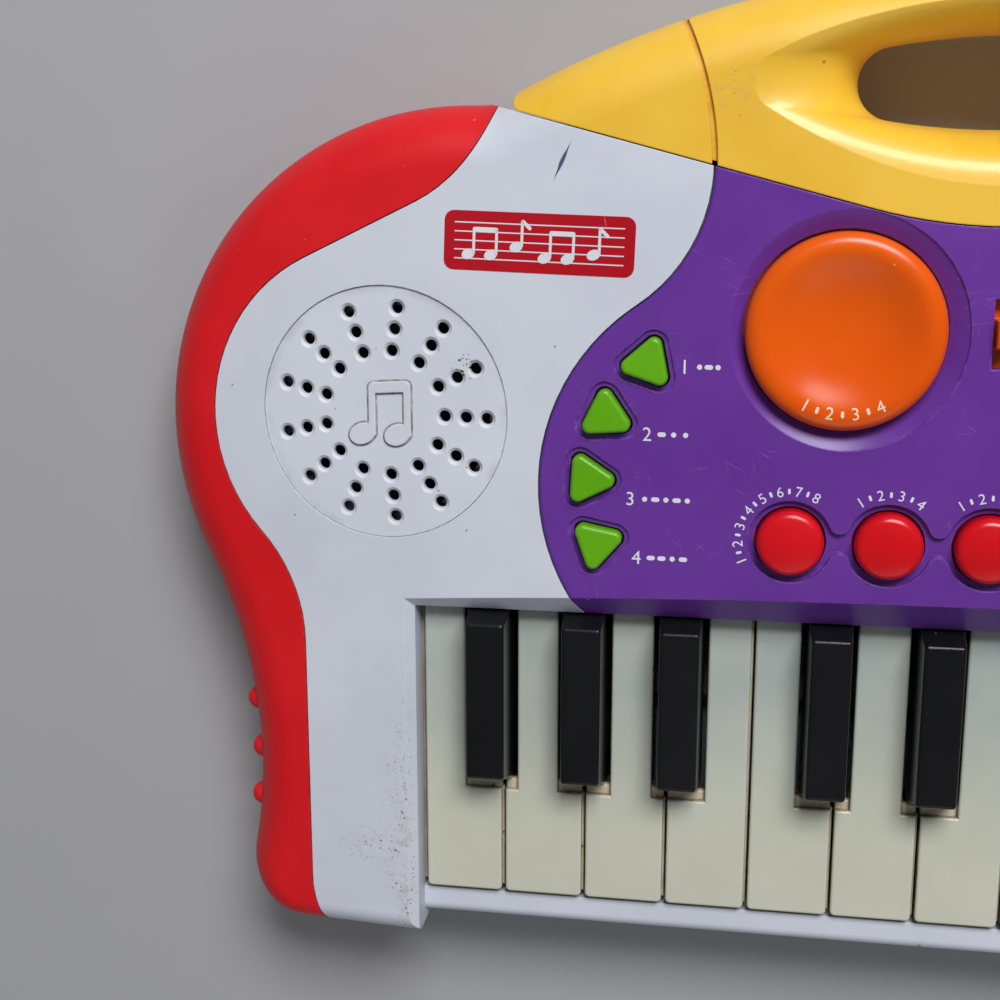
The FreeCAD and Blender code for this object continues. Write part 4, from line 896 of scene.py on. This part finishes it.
# Grimy strips down the gaps between the cheeks and the end keys
stripPlan = {"outer": 130.9, "inner": 129.95, "front": -104.0, "rear": -31.0, "low": 25.2, "top": 27.4,
             "round": 0.2, "roundSteps": 3}
stripTone = dict(ledgeTone, main=(176, 170, 158), deep=(150, 142, 126), patch=9.0, speckShow=0.9)
stripGrey = mouldedPlastic("stripGrey", stripTone)


def wellStrip(side, plan):
    low, high = sorted((side * plan["outer"], side * plan["inner"]))
    rows = [(low, high, plan["front"], plan["rear"])]
    piece = barPiece("wellStrip_" + ("left" if side < 0 else "right"), rows, plan, stripGrey)
    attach(piece, "case")


for side in (-1, 1):
    wellStrip(side, stripPlan)
print("key ledges and well strips placed")

# Raised note on each grille
emblemPlan = {
    "x": 137.4, "y": 17.45, "rise": 0.7, "sink": 0.1, "shade": 0.45, "shadeLift": 0.05,
    "heads": (-5.2, 3.4), "headY": -5.0, "headLong": 3.3, "headWide": 2.5, "headTurn": 22, "headSteps": 32,
    "stemX": 2.5, "stemY": 0.6, "stemLength": 12.6, "stemThick": 1.7,
    "beamX": 1.6, "beamY": 6.2, "beamLength": 10.3, "beamThick": 2.6, "beamTurn": 4,
    "skin": 0.16, "softSteps": 3,
}
# dark sheet round the note's foot: grime and painted shade, broken in patches
noteTone = dict(grillePlan, main=(126, 118, 106), deep=(178, 178, 180), patch=2.4)
noteGrimeAndShade = mouldedPlastic("noteGrimeAndShade", noteTone)


def noteOutline(plan, x, y, grow):
    # two heads, two stems and a beam, with a margin
    sheets = []
    for head in plan["heads"]:
        sheets.append(ovalSheet((x + head, y + plan["headY"]), plan["headLong"] + grow,
                                plan["headWide"] + grow, plan["headTurn"], plan["headSteps"]))
        sheets.append(barSheet((x + head + plan["stemX"], y + plan["stemY"]), plan["stemLength"] + 2 * grow,
                               plan["stemThick"] + 2 * grow, 90))
    sheets.append(barSheet((x + plan["beamX"], y + plan["beamY"]), plan["beamLength"] + 2 * grow,
                           plan["beamThick"] + 2 * grow, plan["beamTurn"]))
    return sheets


def emblemForm(side, plan):
    # the note in one skin, rounded over at the top, with a dark sheet round its foot: grime and painted shade
    x, y = side * plan["x"], plan["y"]
    hand = "left" if side < 0 else "right"
    shade = closedSheet("noteShade_" + hand, noteOutline(plan, x, y, plan["shade"]), "speaker_grilles",
                        plan["shadeLift"], plan["sink"], noteGrimeAndShade)
    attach(shade, "case")
    piece = closedSheet("grilleNote_" + hand, noteOutline(plan, x, y, 0.0), "speaker_grilles", plan["rise"],
                        plan["sink"], grilleWhite)
    remesh = piece.modifiers.new("oneSkin", "REMESH")
    remesh.mode = "VOXEL"
    remesh.voxel_size = plan["skin"] * mm
    smooth = piece.modifiers.new("softCorners", "SMOOTH")
    smooth.iterations = plan["softSteps"]
    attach(piece, "case")


for side in (-1, 1):
    emblemForm(side, emblemPlan)
print("grille notes placed")

# Floor, light and camera
stagePlan = {
    "reach": 3.0, "floorTone": (172, 172, 175), "floorDeep": (167, 167, 170), "floorPatch": 60.0,
    "floorDetail": 3.0, "floorRough": 0.6, "skyStrength": 0.17, "skyTone": (238, 241, 246),
    "aim": (-0.05, 0.0, 0.03),
    "lamps": ({"name": "softLamp", "power": 24.5, "wide": 0.8, "deep": 0.55, "place": (0.33, 1.03, 1.12)},
              {"name": "fillLamp", "power": 3.6, "wide": 1.6, "deep": 1.1, "place": (0.2, -1.5, 1.2)}),
}


def floorPlane(plan):
    reach = plan["reach"]
    mesh = bpy.data.meshes.new("floor")
    corners = [(-reach, -reach, 0), (reach, -reach, 0), (reach, reach, 0), (-reach, reach, 0)]
    mesh.from_pydata(corners, [], [[0, 1, 2, 3]])
    floor = bpy.data.objects.new("floor", mesh)
    scene.collection.objects.link(floor)
    material, tree, shader, place = startMaterial("paleFloor")
    patch = cloud(tree, scaled(tree, place, plan["floorPatch"]), plan["floorDetail"])
    colour = mixed(tree, patch, tone(*plan["floorDeep"]), tone(*plan["floorTone"]))
    tree.links.new(colour, shader.inputs["Base Color"])
    shader.inputs["Roughness"].default_value = plan["floorRough"]
    mesh.materials.append(material)


def studioLight(plan):
    world = bpy.data.worlds.new("softSky")
    world.use_nodes = True
    sky = world.node_tree.nodes["Background"]
    sky.inputs["Color"].default_value = tone(*plan["skyTone"])
    sky.inputs["Strength"].default_value = plan["skyStrength"]
    scene.world = world
    for each in plan["lamps"]:
        lamp = bpy.data.lights.new(each["name"], "AREA")
        lamp.shape = "RECTANGLE"
        lamp.size = each["wide"]
        lamp.size_y = each["deep"]
        lamp.energy = each["power"]
        holder = bpy.data.objects.new(each["name"], lamp)
        holder.location = Vector(each["place"])
        holder.rotation_euler = (Vector(plan["aim"]) - holder.location).to_track_quat("-Z", "Y").to_euler()
        scene.collection.objects.link(holder)


floorPlane(stagePlan)
studioLight(stagePlan)

cameraPlan = {"place": (-52.61, 72.77, 374.04), "forward": (-0.1628, -0.2143, -0.9631),
              "right": (0.9861, -0.0015, -0.1664), "up": (-0.0342, 0.9768, -0.2115),
              "lens": 54.0, "sensor": 36.0, "near": 0.01}


def photoCamera(plan):
    lens = bpy.data.cameras.new("photoCamera")
    lens.lens = plan["lens"]
    lens.sensor_width = plan["sensor"]
    lens.clip_start = plan["near"]
    holder = bpy.data.objects.new("photoCamera", lens)
    back = -Vector(plan["forward"])
    columns = Matrix((Vector(plan["right"]), Vector(plan["up"]), back)).transposed().to_4x4()
    columns.translation = Vector(plan["place"]) * mm
    holder.matrix_world = columns
    scene.collection.objects.link(holder)
    scene.camera = holder


photoCamera(cameraPlan)
scene.view_settings.view_transform = "Standard"
print("stage ready")
